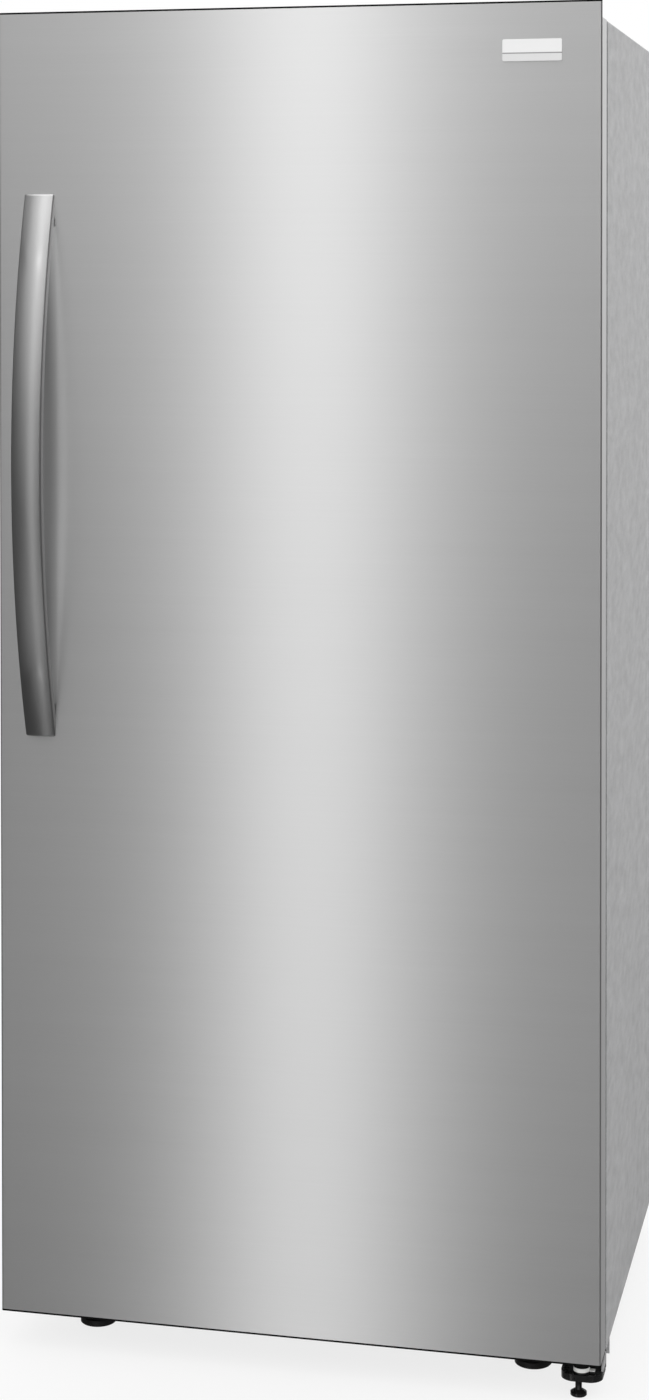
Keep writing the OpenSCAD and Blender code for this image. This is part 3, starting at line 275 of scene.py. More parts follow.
plated = Finish("plated_steel", Metallic=1.0)
turning = plated.noise((260, 260, 900), detail=2.0)
plated.set("Base_Color", plated.mix(turning, (0.55, 0.56, 0.57), (0.70, 0.71, 0.72)))
plated.set("Roughness", 0.22 + 0.14 * turning)
finish_nodes(plated, "top_hinge", "bottom_hinge_pin", "hinge_screws", "roller_brackets")

aluminium = Finish("bare_aluminium", Metallic=1.0)
rolled = aluminium.noise((40, 300, 300), detail=2.0)
aluminium.set("Base_Color", aluminium.mix(rolled, (0.68, 0.69, 0.70), (0.80, 0.81, 0.82)))
aluminium.set("Roughness", 0.25 + 0.15 * rolled)
finish_nodes(aluminium, "evaporator")

# %% [markdown]
# ## Plastics and foam
#
# Moulded plastic differs by gloss and by the spark-eroded texture of its mould. The liner is smooth and white with
# a slow waviness from vacuum forming. The end caps are dark and finely grained. One function makes them all, so
# they differ only in the numbers that a moulder would name. The foam is a coarse, dull, yellowish mass.

# %% Plastics and foam
texture_cells = (700.0, 700.0, 700.0)
least_grain = 0.000004


def plastic(name, colour, roughness, grain=least_grain, wave=0.0, shine=0.5):
    """Moulded plastic: grain is the height in metres of its texture, wave that of a slow unevenness."""
    made = Finish(name, IOR=1.5, Specular_IOR_Level=shine)
    fine = made.noise(texture_cells, detail=2.0)
    slow = made.noise((9, 9, 9), detail=1.0)
    shade = tuple(0.93 * c for c in colour)
    made.set("Base_Color", made.mix(0.5 * fine + 0.5 * slow, shade, colour))
    made.set("Roughness", roughness - 0.04 + 0.08 * fine)
    made.bump(fine * grain + slow * wave, 1.0)
    return made


liner_white = plastic("liner_white", (0.82, 0.83, 0.835), 0.32, wave=0.0006)
part_white = plastic("moulded_white", (0.84, 0.845, 0.85), 0.38, grain=0.00001)
trim_dark = plastic("trim_dark", grey(0.005), 0.6, grain=0.00003, shine=0.08)
moulded_black = plastic("moulded_black", grey(0.008), 0.5, grain=0.00003, shine=0.3)
button_grey = plastic("button_grey", (0.16, 0.165, 0.17), 0.4, grain=0.00002)
finish_nodes(liner_white, "inner_liner", "door_liner")
finish_nodes(part_white, "air_duct_cover", "control_housing", "shelf_frame_lower", "shelf_frame_middle",
    "shelf_frame_upper", "crisper_cover_frame", "crisper_rails", "humidity_slider_left", "humidity_slider_right",
    "evaporator_fan")
finish_nodes(trim_dark, "door_top_cap", "door_bottom_cap", "top_hinge_cover")
finish_nodes(moulded_black, "front_foot_left", "front_foot_right", "rear_roller_left", "rear_roller_right",
    "drain_pan", "condenser_fan", "evaporator_fan_motor", "power_inlet")
finish_nodes(button_grey, "temperature_up_button", "temperature_down_button", "alarm_button")

foam = Finish("foam", Roughness=0.9)
cells = foam.noise((260, 260, 260), detail=3.0)
foam.set("Base_Color", foam.mix(cells, (0.62, 0.50, 0.26), (0.78, 0.66, 0.38))).bump(cells, 0.0008, 0.7)
finish_nodes(foam, "cabinet_foam", "door_foam")

# %% [markdown]
# ## Door closer
#
# The closer is a pair of cams on the hinge pin. The upper one is moulded on the door's bottom cap, and this solid is
# the lower one, which stands on the bracket. What the black is can't be made out. It is white nylon above the split,
# and below the split it is painted black as shade, so the finish only splits the solid by height.

# %% Door closer
low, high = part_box("closer_cam")
cams = Finish("closer_cams", Roughness=0.4)
# The share of the cam below the split is painted black: painted shade, not a black part.
shaded_share = 0.32
split = low[Z] + shaded_share * (high[Z] - low[Z])
nylon_part = smooth_between(cams.axis(Z), split, split + 0.0003)
cams.set("Base_Color", cams.mix(nylon_part, grey(0.008), (0.86, 0.86, 0.84)))
cams.bump(cams.noise((700, 700, 700)), 0.00001)
finish_nodes(cams, "closer_cam")
print("cam turns white at", round(split, 4))

# %% [markdown]
# ## Clear plastic and glass
#
# Crispers, bins and the dairy lid are clear plastic, and the shelves are faintly green glass. Real ones bend light
# by an index of about 1.5. Here the indices are lower, and part of the light passes straight through. That is a
# choice of looks: through the open door the inside renders about a tenth brighter than with the real indices and
# without that share, and the edges of the pieces show less. The lens of the light is frosted and glows, with fine
# ribs from a sine of X.

# %% Clear plastic and glass
def clear(name, colour, index, roughness, alpha):
    """A clear solid: part of the light, 1 - alpha, passes straight through and the rest is bent by its index."""
    made = Finish(name, Base_Color=colour, IOR=index, Transmission_Weight=1.0, Alpha=alpha)
    haze = made.noise((30, 30, 30), detail=2.0)
    made.set("Roughness", roughness + 0.03 * haze)
    return made


clear_plastic = clear("clear_plastic", (0.97, 0.985, 0.99), 1.15, 0.03, 0.45)
shelf_glass = clear("shelf_glass", (0.86, 0.95, 0.92), 1.2, 0.0, 0.6)
finish_nodes(clear_plastic, "crisper_left", "crisper_right", "deli_drawer", "door_bin_lowest", "door_bin_lower",
    "door_bin_upper", "dairy_bin", "dairy_lid")
finish_nodes(shelf_glass, "shelf_glass_lower", "shelf_glass_middle", "shelf_glass_upper", "crisper_cover_glass")

frosted = Finish("frosted_lens", Roughness=0.5, Base_Color=(0.92, 0.92, 0.90), Emission_Strength=6.0,
    Emission_Color=(1.0, 0.98, 0.94))
rib_turns = 1500.0
ribs = frosted.node("Math", {"operation": "SINE"}, {0: frosted.axis(X) * rib_turns})
frosted.bump(ribs, 0.0004, 0.8)
finish_nodes(frosted, "light_lens")

# %% [markdown]
# ## Surfaces from arrays
#
# Each new piece is a surface over two parameters: `u` runs along it and `v` round it. The points are one numpy
# array, and the faces join each point to its neighbours, wrapping round where the surface closes. The sign of the
# enclosed volume tells which way the faces point, and they are turned over if it is negative. A profile
# carried along a path covers most of the pieces: the gasket, the trims and the tubes.

# %% Surfaces from arrays
sharp_angle = math.radians(35)


def surface(name, points, finish, body, close_u=False, caps=False):
    """Mesh from a grid of points (u, v, xyz), closed round v. Caps close the ends of an open u with one face each."""
    nu, nv, _ = points.shape
    u = np.arange(nu if close_u else nu - 1)
    v = np.arange(nv)
    uu, vv = (a.ravel() for a in np.meshgrid(u, v, indexing="ij"))
    un, vn = (uu + 1) % nu, (vv + 1) % nv
    quads = np.stack([uu * nv + vv, un * nv + vv, un * nv + vn, uu * nv + vn], axis=1)
    xyz = points.reshape(-1, 3)
    a, b, c, d = (xyz[quads[:, i]] for i in range(4))
    volume = (a * (np.cross(b, c) + np.cross(c, d))).sum()
    faces = quads.tolist()
    if caps:
        faces += [list(range(nv)), list(range((nu - 1) * nv, nu * nv))[::-1]]
    if volume < 0:
        faces = [face[::-1] for face in faces]
    mesh = bpy.data.meshes.new(name)
    mesh.from_pydata(xyz.tolist(), [], faces)
    mesh.polygons.foreach_set("use_smooth", np.ones(len(mesh.polygons), dtype=bool))
    mesh.set_sharp_from_angle(angle=sharp_angle)
    mesh.materials.append(finish.material)
    piece = bpy.data.objects.new(name, mesh)
    bpy.context.scene.collection.objects.link(piece)
    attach(piece, body)
    print(name, "faces:", len(faces), "size mm:", np.round(1000 * np.ptp(xyz, axis=0), 1))
    return piece


def carry(profile, path, side, up):
    """Every point of the path plus the profile's first number along side and its second along up."""
    return path[:, None] + profile[None, :, :1] * side[:, None] + profile[None, :, 1:] * up[:, None]


def ring_path(low, high, radius, corner_steps=8):
    """A rounded rectangle in the XZ plane: four corner arcs in turn, and the outward direction at each point."""
    turn = np.linspace(0, math.pi / 2, corner_steps)
    angle = (np.arange(4)[:, None] * math.pi / 2 + turn).ravel()
    outward = np.stack([np.cos(angle), np.zeros_like(angle), np.sin(angle)], axis=1)
    signs = np.array([[1, 1], [-1, 1], [-1, -1], [1, -1]]).repeat(corner_steps, axis=0)
    middle = np.array([(low[0] + high[0]) / 2, (low[2] + high[2]) / 2])
    half = np.array([(high[0] - low[0]) / 2, (high[2] - low[2]) / 2]) - radius
    centre = middle + signs * half
    path = np.stack([centre[:, 0], np.zeros_like(angle), centre[:, 1]], axis=1) + radius * outward
    return path, outward


# %% [markdown]
# ## Handle bar
#
# The handle is one bar, bent to an arc and crowned across its front, whose edges and cut ends are rounded over by
# 2.5 mm. That small rounding is what catches the light along the upper end, and CAD keeps only the main form. The
# surface is a height over the door: the bow's circle, less the crown's circle, less the rounding near the outline.

# %% Handle bar
handle_steel = steel("handle_steel", along=Z, roughness=0.34, stretch=0.5, relief=0.0000005, rotation=0.0)
low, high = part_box("handle")
door_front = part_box("door_skin")[0][Y]
reach, bar_w, bar_l = door_front - low[Y], high[X] - low[X], high[Z] - low[Z]
bar_end, bar_t, crown_r = 0.005, 0.014, 0.060
corner, fillet = 0.003, 0.0025
bow = reach - bar_end
bow_r = ((bar_l / 2) ** 2 + bow ** 2) / (2 * bow)
middle_x, middle_z = (low[X] + high[X]) / 2, (low[Z] + high[Z]) / 2


def rounding(inset, radius):
    """How far a rounded edge falls at a distance in from the outline: r - sqrt(r^2 - (r - d)^2)."""
    away = radius - np.clip(inset, 0, radius)
    return radius - np.sqrt(np.maximum(radius ** 2 - away ** 2, 0))


end_zone, end_steps, length_steps, width_steps, rear_steps = 0.006, 13, 121, 41, 9
ends = corner * (1 - np.cos(np.linspace(0, math.pi / 2, end_steps)))
shank = np.linspace(-bar_l / 2 + end_zone, bar_l / 2 - end_zone, length_steps)
z = np.concatenate([-bar_l / 2 + ends, shank, bar_l / 2 - ends[::-1]])
half = bar_w / 2 - rounding(bar_l / 2 - np.abs(z), corner)
t = np.sin(np.linspace(-math.pi / 2, math.pi / 2, width_steps))
x = half[:, None] * t[None, :]
drop = rounding(np.minimum(half[:, None] - np.abs(x), bar_l / 2 - np.abs(z)[:, None]), fillet)
crest = bow_r - crown_r + np.sqrt(crown_r ** 2 - x ** 2)
front = np.minimum(bow_r - reach - np.sqrt(crest ** 2 - z[:, None] ** 2) + drop, 0.0)
rear = np.minimum(bow_r - reach - np.sqrt((bow_r - bar_t) ** 2 - z ** 2), 0.0)
rear = np.repeat(np.maximum(rear, front.max(axis=1))[:, None], rear_steps, axis=1)
across = np.concatenate([x, half[:, None] * np.linspace(1, -1, rear_steps)[None, :]], axis=1)
out = np.concatenate([front, rear], axis=1)
points = np.stack([middle_x + across, door_front + out, middle_z + np.broadcast_to(z[:, None], out.shape)], axis=2)
bar = surface("handle_bar", points, handle_steel, "door", caps=True)
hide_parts("handle")

# %% [markdown]
# ## Tone of the handle
#
# The real bar is most likely one even satin, and its tones in the photograph are reflections. The studio below gives
# some of them. The rest is painted here: the tone falls down the bar's length, and a thin line along the right edge
# is bright. That brings it near the photograph from the front, but under other light the paint stays as it is.

# %% Tone of the handle
level, aside = handle_steel.axis(Z), handle_steel.axis(X)
foot_tone, middle_rise, top_rise, edge_rise = 0.25, 0.12, 0.27, 0.20
bend_z, right_edge = middle_z + 0.07, middle_x + bar_w / 2
tone = (foot_tone + middle_rise * smooth_between(level, middle_z - 0.36, bend_z)
    + top_rise * smooth_between(level, bend_z, middle_z + 0.35)
    + edge_rise * smooth_between(aside, right_edge - 0.0012, right_edge - 0.0002))
handle_steel.set("Base_Color", handle_steel.mix(tone * (0.96 + 0.08 * handle_steel.grain), grey(0.0), grey(1.0)))
print("handle tone:", foot_tone, "at its foot,", round(foot_tone + middle_rise + top_rise, 2), "at its top")

# %% [markdown]
# ## Gasket
#
# A real gasket is one extruded strip: a barbed foot in the door, a folded bellows that lets it stretch, and a flat
# magnet tube that meets the cabinet. CAD keeps a plain stepped ring for it. Here the strip's cross-section is
# drawn as a closed curve and carried round the door, in the place of the CAD ring. The barbed foot is hidden once
# the strip is in the door, so it is left out.

# %% Gasket
gasket_finish = plastic("gasket_vinyl", (0.20, 0.205, 0.21), 0.55, grain=0.00002)
low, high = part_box("door_gasket")
strip_mm, strip_corner = 14.5, 0.012
depth = np.array([0.0, 1.2, 2.6, 4.0, 5.4, 6.8, 8.2, 9.6, 10.6, 11.6, 13.2, 14.3]) / strip_mm
outer = -np.array([0.2, 0.2, 2.2, 3.4, 2.0, 0.9, 2.0, 3.2, 2.0, 0.4, 0.0, 0.6]) / 1000
inner = -np.array([14.8, 14.8, 12.6, 11.2, 12.8, 13.9, 12.8, 11.4, 12.8, 14.4, 15.0, 14.3]) / 1000
across = np.concatenate([outer, inner[::-1]])
deep = low[Y] + (high[Y] - low[Y]) * np.concatenate([depth, depth[::-1]])
path, outward = ring_path(low, high, strip_corner)
backward = np.tile([0.0, 1.0, 0.0], (len(path), 1))
gasket = surface("gasket_strip", carry(np.stack([across, deep], axis=1), path, outward, backward),
    gasket_finish, "door", close_u=True)
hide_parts("door_gasket")

# %% [markdown]
# ## Shelf and drawer trims
#
# A bright extruded strip finishes the front edge of each shelf and the top of each drawer's front. Its face is a
# shallow arc with rolled ends, so it is one small profile carried along X.

# %% Shelf and drawer trims
def trim(name, node, body, top, height, bulge, margin, front):
    """A strip along X: its section is half of a flat, squared-off ellipse that stands out by bulge."""
    low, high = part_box(node)
    angle = np.linspace(-math.pi / 2, math.pi / 2, 15)
    face = np.stack([-bulge * np.cos(angle) ** 0.6, 0.5 * height * np.sin(angle)], axis=1)
    back = np.array([[0.0006, 0.5 * height], [0.0006, -0.5 * height]])
    profile = np.concatenate([face, back])
    x = np.linspace(low[X] + margin, high[X] - margin, 5)
    path = np.stack([x, np.full_like(x, front), np.full_like(x, top - height / 2)], axis=1)
    backward, upward = (np.tile(way, (len(x), 1)) for way in ([0.0, 1.0, 0.0], [0.0, 0.0, 1.0]))
    return surface(name, carry(profile, path, backward, upward), aluminium, body, caps=True)


sink, grip_reach = 0.001, 0.014
for level in ("lower", "middle", "upper"):
    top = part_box(f"shelf_glass_{level}")[1][Z] - sink
    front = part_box(f"shelf_frame_{level}")[0][Y]
    trim(f"shelf_trim_{level}", f"shelf_glass_{level}", "cabinet", top, height=0.014, bulge=0.003, margin=0.0,
        front=front)
for drawer in ("crisper_left", "crisper_right", "deli_drawer"):
    low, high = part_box(drawer)
    trim(f"{drawer}_trim", drawer, f"{drawer}_body", high[Z] - sink, height=0.018, bulge=0.003, margin=0.012,
        front=low[Y] + grip_reach)

# %% [markdown]
# ## Threads on the feet
#
# A levelling foot has a threaded stem. The thread is a ridge that climbs as it goes round: radius is a triangle
# wave of (height / pitch - angle / one turn), so lines of equal radius are helices.

# %% Threads on the feet
def thread(name, node, body, finish, radius, z0, z1, pitch, ridge):
    """A screw surface: at height z and angle a the radius is the stem's plus ridge times a triangle wave."""
    low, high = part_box(node)
    centre = ((low[X] + high[X]) / 2, (low[Y] + high[Y]) / 2)
    steps_a_turn, steps_round = 8, 32
    z = np.linspace(z0, z1, int((z1 - z0) / pitch * steps_a_turn) + 1)[:, None]
    a = np.linspace(0, 2 * math.pi, steps_round, endpoint=False)[None, :]
    wave = np.abs(((z / pitch - a / (2 * math.pi)) % 1.0) * 2 - 1)
    fade = np.minimum(1, np.minimum(z - z0, z1 - z) / pitch)
    r = radius + ridge * wave * fade
    points = np.stack([centre[0] + r * np.cos(a), centre[1] + r * np.sin(a), np.broadcast_to(z, r.shape)], axis=2)
    return surface(name, points, finish, body, caps=True)


blackened = Finish("blackened_steel", Metallic=1.0)
oiled = blackened.noise((400, 400, 900), detail=2.0)
blackened.set("Base_Color", blackened.mix(oiled, grey(0.07), grey(0.16))).set("Roughness", 0.24 + 0.14 * oiled)
for side in ("left", "right"):
    thread(f"thread_front_{side}", f"front_foot_{side}", f"front_foot_{side}_body", blackened, radius=0.00505,
        z0=0.0135, z1=0.0236, pitch=0.0015, ridge=0.0006)
thread("thread_bracket", "bracket_foot", "bracket_foot_body", blackened, radius=0.00403,
    z0=0.0078, z1=0.0216, pitch=0.0012, ridge=0.0005)

# %% [markdown]
# ## Web of the hinge bracket
#
# A grey sliver shows under the door's corner. It is read as a flat web between the bracket and the cabinet's corner,
# which would stiffen the bracket against the door's weight. That is a guess. The web has the cabinet's grey paint,
# which is partly a painted highlight: it stands in for the light that the side of the black bracket catches there.
# The web has a concave front edge.

# %% Web of the hinge bracket
def flat_web(name, outline, x0, x1, finish, body):
    """A plate between two planes of X: its outline in Y and Z is carried along X."""
    points = np.stack([np.column_stack([np.full(len(outline), x), outline]) for x in (x0, x1)])
    return surface(name, points, finish, body, caps=True)


low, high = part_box("bottom_hinge_bracket")
plate_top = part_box("closer_cam")[0][Z]
under_cabinet, front_gap, rear_gap, rear_inset, lap = 0.0006, 0.022, 0.004, 0.0005, 0.002
t = np.linspace(0, math.pi / 2, 13)
rise, run = high[Z] - plate_top - under_cabinet, high[Y] - low[Y] - front_gap
curve = np.stack([high[Y] - rear_gap - run * np.cos(t) ** 1.6, plate_top + rise * np.sin(t) ** 1.2], axis=1)
rear, foot = high[Y] - rear_inset, plate_top - lap
outline = np.concatenate([curve, [[rear, plate_top + rise], [rear, foot], [high[Y] - rear_gap - run, foot]]])
# The web's grey paint is partly a painted highlight for the lit side of the black bracket.
flat_web("bracket_web", outline, high[X] - 0.0026, high[X] - 0.0001, cabinet_paint, "cabinet")

# %% [markdown]
# ## Trims on the door bins
#
# Each open bin carries a bright strip along the top of its bowed front wall. The bow is a circle's arc: with a
# half-width x and a bow b, its radius is (x * x + b * b) / (2 * b), and the strip's path follows the same arc.

# %% Trims on the door bins
def bin_trim(node, bow, height, thick, margin):
    """A flat strip with rounded edges, bent to y = centre + sqrt(R * R - x * x)."""
    low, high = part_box(node)
    half = (high[X] - low[X]) / 2
    radius = (half ** 2 + bow ** 2) / (2 * bow)
    x = np.linspace(-half + margin, half - margin, 49)
    y = high[Y] - radius + np.sqrt(radius ** 2 - x ** 2)
    slope = np.stack([-x, np.sqrt(radius ** 2 - x ** 2), np.zeros_like(x)], axis=1) / -radius
    path = np.stack([x, y, np.full_like(x, high[Z] - height / 2)], axis=1)
    a = np.linspace(0, 2 * math.pi, 24, endpoint=False)
    profile = np.stack([np.sign(np.cos(a)) * np.abs(np.cos(a)) ** 0.5 * thick / 2 + 0.0012,
        np.sign(np.sin(a)) * np.abs(np.sin(a)) ** 0.3 * height / 2], axis=1)
    upward = np.tile([0.0, 0.0, 1.0], (len(x), 1))
    return surface(f"{node}_trim", carry(profile, path, slope, upward), aluminium, "door", caps=True)


for node in ("door_bin_lowest", "door_bin_lower", "door_bin_upper"):
    bin_trim(node, bow=0.014, height=0.012, thick=0.0045, margin=0.020)

# %% [markdown]
# ## Refrigerant tubes
#
# Copper-plated steel tubes join the compressor, the condenser and the insulated cabinet. A tube is a circle carried
# along a path of straight runs whose corners are rounded by a short parabola. The circle's frame is carried on
# without twist: at each point the last side vector loses its part along the new direction.

# %% Refrigerant tubes
copper = Finish("copper_plated", Metallic=1.0)
patina = copper.noise((120, 120, 120), detail=3.0)
copper.set("Base_Color", copper.mix(patina, (0.45, 0.21, 0.13), (0.78, 0.43, 0.29)))
copper.set("Roughness", 0.24 + 0.2 * patina)


def bent_path(corners, bend, steps=7):
    """Straight runs between the corners; each inner corner P becomes (1-t)^2 A + 2t(1-t) P + t^2 B."""
    corners = np.asarray(corners, dtype=float)
    points = [corners[0]]
    t = np.linspace(0, 1, steps)[:, None]
    for before, corner, after in zip(corners[:-2], corners[1:-1], corners[2:]):
        into, out = (before - corner), (after - corner)
        a = corner + into / np.linalg.norm(into) * min(bend, np.linalg.norm(into) / 2)
        b = corner + out / np.linalg.norm(out) * min(bend, np.linalg.norm(out) / 2)
        points.extend((1 - t) ** 2 * a + 2 * t * (1 - t) * corner + t ** 2 * b)
    points.append(corners[-1])
    return np.array(points)


def tube(name, corners, radius, bend, finish, sides=14):
    """A round tube of one radius: its circle is carried along the bent path without twist."""
    path = bent_path(corners, bend)
    ahead = np.gradient(path, axis=0)
    ahead /= np.linalg.norm(ahead, axis=1)[:, None]
    side = np.zeros_like(path)
    last = np.cross(ahead[0], [0.31, 0.86, 0.41])
    for i, d in enumerate(ahead):
        last = last - d * (last @ d)
        last /= np.linalg.norm(last)
        side[i] = last
    a = np.linspace(0, 2 * math.pi, sides, endpoint=False)
    circle = np.stack([np.cos(a), np.sin(a)], axis=1) * radius
    return surface(name, carry(circle, path, side, np.cross(ahead, side)), finish, "cabinet", caps=True)


pump_low, pump_high = (np.array(corner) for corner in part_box("compressor"))
coil_low, coil_high = (np.array(corner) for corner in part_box("condenser"))
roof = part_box("machine_cover")[1][Z] - 0.006
middle = (pump_low[Y] + pump_high[Y]) / 2
shell_top = pump_high[Z]
lane, head_x, head_z, coil_end = middle - 0.012, pump_low[X] + 0.05, shell_top + 0.032, coil_high[X] - 0.004
tube("discharge_tube", [(head_x, lane, shell_top - 0.012), (head_x, lane, head_z), (coil_end, lane, head_z),
    (coil_end, lane, coil_high[Z] - 0.002)], 0.003, 0.02, copper)
near_x, far_x, rear_y, front_y = pump_high[X] - 0.05, pump_high[X] + 0.05, middle + 0.02, middle - 0.03
suction_z = shell_top + 0.022
tube("suction_tube", [(near_x, rear_y, shell_top - 0.014), (near_x, rear_y, suction_z), (far_x, rear_y, suction_z),
    (far_x, front_y, suction_z), (far_x, front_y, roof)], 0.004, 0.018, copper)
stub_x = pump_high[X] - 0.075
tube("process_tube", [(stub_x, front_y, shell_top - 0.012), (stub_x, front_y, shell_top + 0.014),
    (stub_x, middle - 0.07, shell_top + 0.026)], 0.003, 0.014, copper)

# %% [markdown]
# ## Filter drier and terminal cover
#
# The drier is a fat length of tube with tapered ends, so it is the same circle with a radius that varies along a
# straight path. The terminal cover on the compressor's side is a superellipsoid: a sphere whose sines and cosines
# are raised to a power below one, which squares it off.

# %% Filter drier and terminal cover
def turned(name, x, y, heights, radii, finish, sides=24):
    """A surface of revolution on an upright axis: radius against height."""
    a = np.linspace(0, 2 * math.pi, sides, endpoint=False)
    r, z = np.array(radii)[:, None], np.array(heights)[:, None]
    points = np.stack([x + r * np.cos(a), y + r * np.sin(a), np.broadcast_to(z, (len(heights), sides))], axis=2)
    return surface(name, points, finish, "cabinet", caps=True)


def power_box(name, centre, half, squareness, finish, body):
    """Superellipsoid: c(u) c(v), c(u) s(v), s(u), where c and s keep their sign and lose part of their power."""
    def shaped(wave):
        return np.sign(wave) * np.abs(wave) ** squareness
    u = np.linspace(-math.pi / 2 + 0.02, math.pi / 2 - 0.02, 25)[:, None]
    v = np.linspace(0, 2 * math.pi, 48, endpoint=False)[None, :]
    points = np.stack([centre[X] + half[X] * shaped(np.cos(u)) * shaped(np.cos(v)),
        centre[Y] + half[Y] * shaped(np.cos(u)) * shaped(np.sin(v)),
        np.broadcast_to(centre[Z] + half[Z] * shaped(np.sin(u)), (25, 48))], axis=2)
    return surface(name, points, finish, body, caps=True)


drier_x, drier_z, outlet_z = coil_low[X] - 0.022, coil_low[Z] + 0.050, coil_low[Z] + 0.034
turned("filter_drier", drier_x, middle, drier_z + np.array([0, 0.008, 0.018, 0.082, 0.092, 0.100]),
    [0.003, 0.0035, 0.0095, 0.0095, 0.0035, 0.003], copper)
tube("drier_tube", [(drier_x, middle, drier_z + 0.098), (drier_x, middle, roof)], 0.003, 0.01, copper)
tube("liquid_tube", [(coil_low[X] + 0.004, middle, outlet_z), (drier_x, middle, outlet_z),
    (drier_x, middle, drier_z + 0.002)], 0.003, 0.012, copper)
power_box("terminal_cover", (pump_high[X] + 0.004, middle, shell_top - 0.075), (0.018, 0.034, 0.028), 0.35,
    moulded_black, "cabinet")

# %% [markdown]
# ## Studio floor
#
# The floor is pale and takes the object's shadow. To the camera it also glows, which lifts it to the white of the
# photograph's background without more light on the object. Reflections don't see it, so the steel mirrors the world
# and the planes of light that follow, but no floor.

# %% Studio floor
def plane(name, points, material):
    """A face for every four points in pairs, a ladder of them, which belongs to the studio, not to the object."""
    mesh = bpy.data.meshes.new(name)
    mesh.from_pydata(points, [], [(i, i + 1, i + 3, i + 2) for i in range(0, len(points) - 2, 2)])
    mesh.materials.append(material)
    made = bpy.data.objects.new(name, mesh)
    bpy.context.scene.collection.objects.link(made)
    print(name, "faces:", len(mesh.polygons))
    return made


camera_glow = 0.8
floor_finish = Finish("studio_floor", Base_Color=grey(0.95), Roughness=0.9)
glow = floor_finish.node("Emission", {}, {"Color": (1.0, 1.0, 1.0, 1.0), "Strength": 1.0})
to_camera = floor_finish.node("LightPath", output="Is Camera Ray")
lit = Value(floor_finish, floor_finish.shader.outputs[0])
both = floor_finish.node("MixShader", {}, {0: to_camera * camera_glow, 1: lit, 2: glow})
floor_finish.feed(floor_finish.tree.nodes["Material Output"].inputs["Surface"], both)
floor = plane("studio_floor", [(-9, -9, 0), (9, -9, 0), (-9, 9, 0), (9, 9, 0)], floor_finish.material)
floor.visible_glossy = False

# %% [markdown]
# ## Light that only reflections see
#
# Brushed steel shows little but what it reflects, and a photographer shapes that with softboxes and dark flags. Here
# planes glow for reflections alone. The camera, plain surfaces and light that passes through clear pieces don't see
# them, and they cast no shadow. The pattern of each one is a formula over its own surface.

# %% Light that only reflections see
def power(base, exponent):
    """base ** exponent, for an exponent that varies."""
    return exponent.finish.node("Math", {"operation": "POWER"}, {0: base, 1: exponent})


def bell(value, centre, width):
    """A smooth bump of height 1 at the centre."""
    away = (value - centre) / width
    return power(math.e, -1.0 * (away * away))


def light_plane(name, finish, corners, level):
    """An emitting plane that only reflections see: it shapes the steel and leaves the plain light as it is."""
    finish.set("Emission_Color", finish.node("CombineXYZ", {}, {0: level, 1: level, 2: level}))
    made = plane(name, corners, finish.material)
    made.visible_camera = made.visible_shadow = made.visible_transmission = made.visible_diffuse = False


def light_finish(name):
    """Black to every light, with an emission that the caller gives it."""
    return Finish(name, Base_Color=(0.0, 0.0, 0.0), Roughness=1.0, Emission_Strength=1.0)


# %% [markdown]
# ## Wall, flags and roof
#
# The wall in front of the door is brightest along one upright band, which fades to both sides as a softbox does and
# which the steel shows as its bright band. The rest of the wall is darker at its left end, brighter at its right end
# and brighter above than below, with a lighter stripe near the floor and a darker one over it. Two flags stand at
# right angles to it, one on each side of the object, and a roof closes it above. All of this was set over many
# renders, until the door's tones were near those read from the photograph.

# %% Wall, flags and roof
left_x, right_x, wall_y, foot_z, roof_z, roof_y = -4, 1.5, -2.0, -3, 3.4, 2.0
band_x, band_w, band_shade_w = -0.395, 0.12, 0.4
wall = light_finish("light_wall")
across, up = wall.axis(X), wall.axis(Z)
above = smooth_between(up, 0.5, 2.7)
below = smooth_between(up, 0.4, -1.2)
left_dark = smooth_between(across, -1.3, -2.2)
right_side = smooth_between(across, 0.2, 1.2)
beside = 1.0 - bell(across, band_x, band_shade_w)
base = (0.25 + 0.50 * above - 0.16 * below + (0.42 * bell(up, 0.06, 0.30) - 0.16 * bell(up, 0.80, 0.35)) * beside)
light_plane("light_wall", wall,
    [(left_x, wall_y, foot_z), (right_x, wall_y, foot_z), (left_x, wall_y, roof_z), (right_x, wall_y, roof_z)],
    base * (1.0 - 0.8 * left_dark) * (1.0 + 0.7 * right_side) + bell(across, band_x, band_w) * (2.5 - 0.3 * above))
for name, x, shade in (("flag_right", 1.6, 0.15), ("flag_left", -1.8, 0.13)):
    light_plane(name, light_finish(name), [(x, wall_y, -2), (x, 1.5, -2), (x, wall_y, 5), (x, 1.5, 5)], shade)
roof_level = 1.6
light_plane("light_roof", light_finish("light_roof"),
    [(left_x, wall_y, roof_z), (right_x, wall_y, roof_z), (left_x, roof_y, roof_z), (right_x, roof_y, roof_z)],
    roof_level)

# %% [markdown]
# ## Light behind the bar and beside the cabinet
#
# The door mirrors the back of the bar, which faces away from the wall. A strip of light hidden behind the bar, bent
# as the bar is, lifts that mirror image and fades down its length. The cabinet's side is seen at a flat angle and
# mirrors what stands behind the object on that side, here a plane that is brighter above than below.

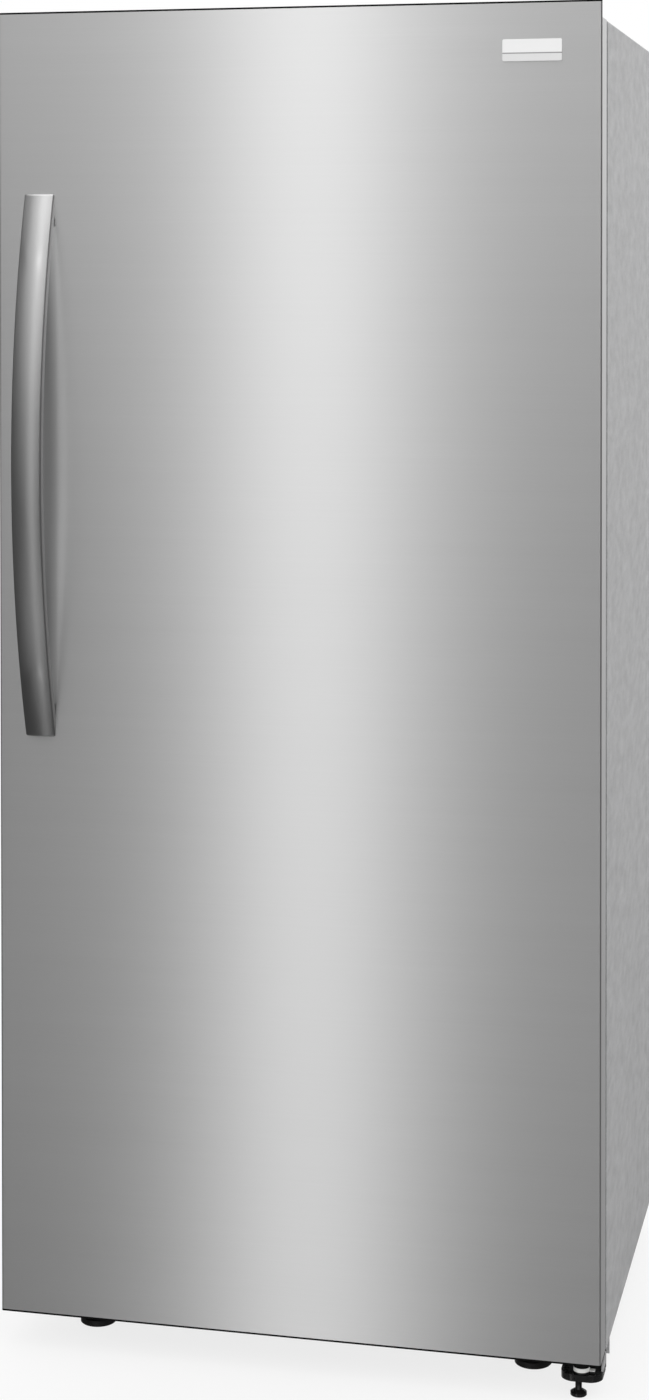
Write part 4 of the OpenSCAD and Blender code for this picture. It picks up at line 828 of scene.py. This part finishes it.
# %% Light behind the bar and beside the cabinet
strip_steps, strip_gap, strip_short = 25, 0.004, 0.05
strip_l = np.linspace(-0.5, 0.5, strip_steps) * (bar_l - strip_short)
strip_y = door_front + bow_r - reach - np.sqrt((bow_r - bar_t) ** 2 - strip_l ** 2) + strip_gap
strip_x = np.array([middle_x - bar_w / 2, middle_x + bar_w / 2 + 0.001])
grid = np.stack([np.broadcast_to(strip_x, (strip_steps, 2)), np.broadcast_to(strip_y[:, None], (strip_steps, 2)),
    np.broadcast_to(middle_z + strip_l[:, None], (strip_steps, 2))], axis=2)
strip = light_finish("strip_light")
to_right = smooth_between(strip.axis(X), middle_x, middle_x + 0.016)
to_foot = smooth_between(strip.axis(Z), middle_z - 0.12, middle_z - 0.32)
light_plane("strip_light", strip, grid.reshape(-1, 3).tolist(), (0.15 + 0.40 * to_right) * (1.0 - 0.6 * to_foot))
back = light_finish("back_light")
light_plane("back_light", back, [(0.7, 5, -5), (6, 5, -5), (0.7, 5, 6), (6, 5, 6)],
    0.31 + 0.70 * smooth_between(back.axis(Z), -1.0, 2.6))

# %% [markdown]
# ## World
#
# The plain light comes from a white world, from all sides and without lamps, at the level at which a colour renders
# about as it is written. Reflections see it a little dimmer, so that the steel doesn't wash out.

# %% World
plain_level, mirrored_level = 1.0, 0.75
world = bpy.data.worlds.new("studio")
bpy.context.scene.world = world
world.use_nodes = True
tree = world.node_tree
tree.nodes.clear()
seen = tree.nodes.new("ShaderNodeLightPath")
bright = tree.nodes.new("ShaderNodeBackground")
dimmed = tree.nodes.new("ShaderNodeBackground")
for background, strength in ((bright, plain_level), (dimmed, mirrored_level)):
    background.inputs["Color"].default_value = (1, 1, 1, 1)
    background.inputs["Strength"].default_value = strength
chosen = tree.nodes.new("ShaderNodeMixShader")
output = tree.nodes.new("ShaderNodeOutputWorld")
tree.links.new(seen.outputs["Is Glossy Ray"], chosen.inputs[0])
tree.links.new(bright.outputs[0], chosen.inputs[1])
tree.links.new(dimmed.outputs[0], chosen.inputs[2])
tree.links.new(chosen.outputs[0], output.inputs[0])
bpy.context.scene.view_settings.view_transform = "Standard"
print("world level:", plain_level, "mirrored:", mirrored_level)
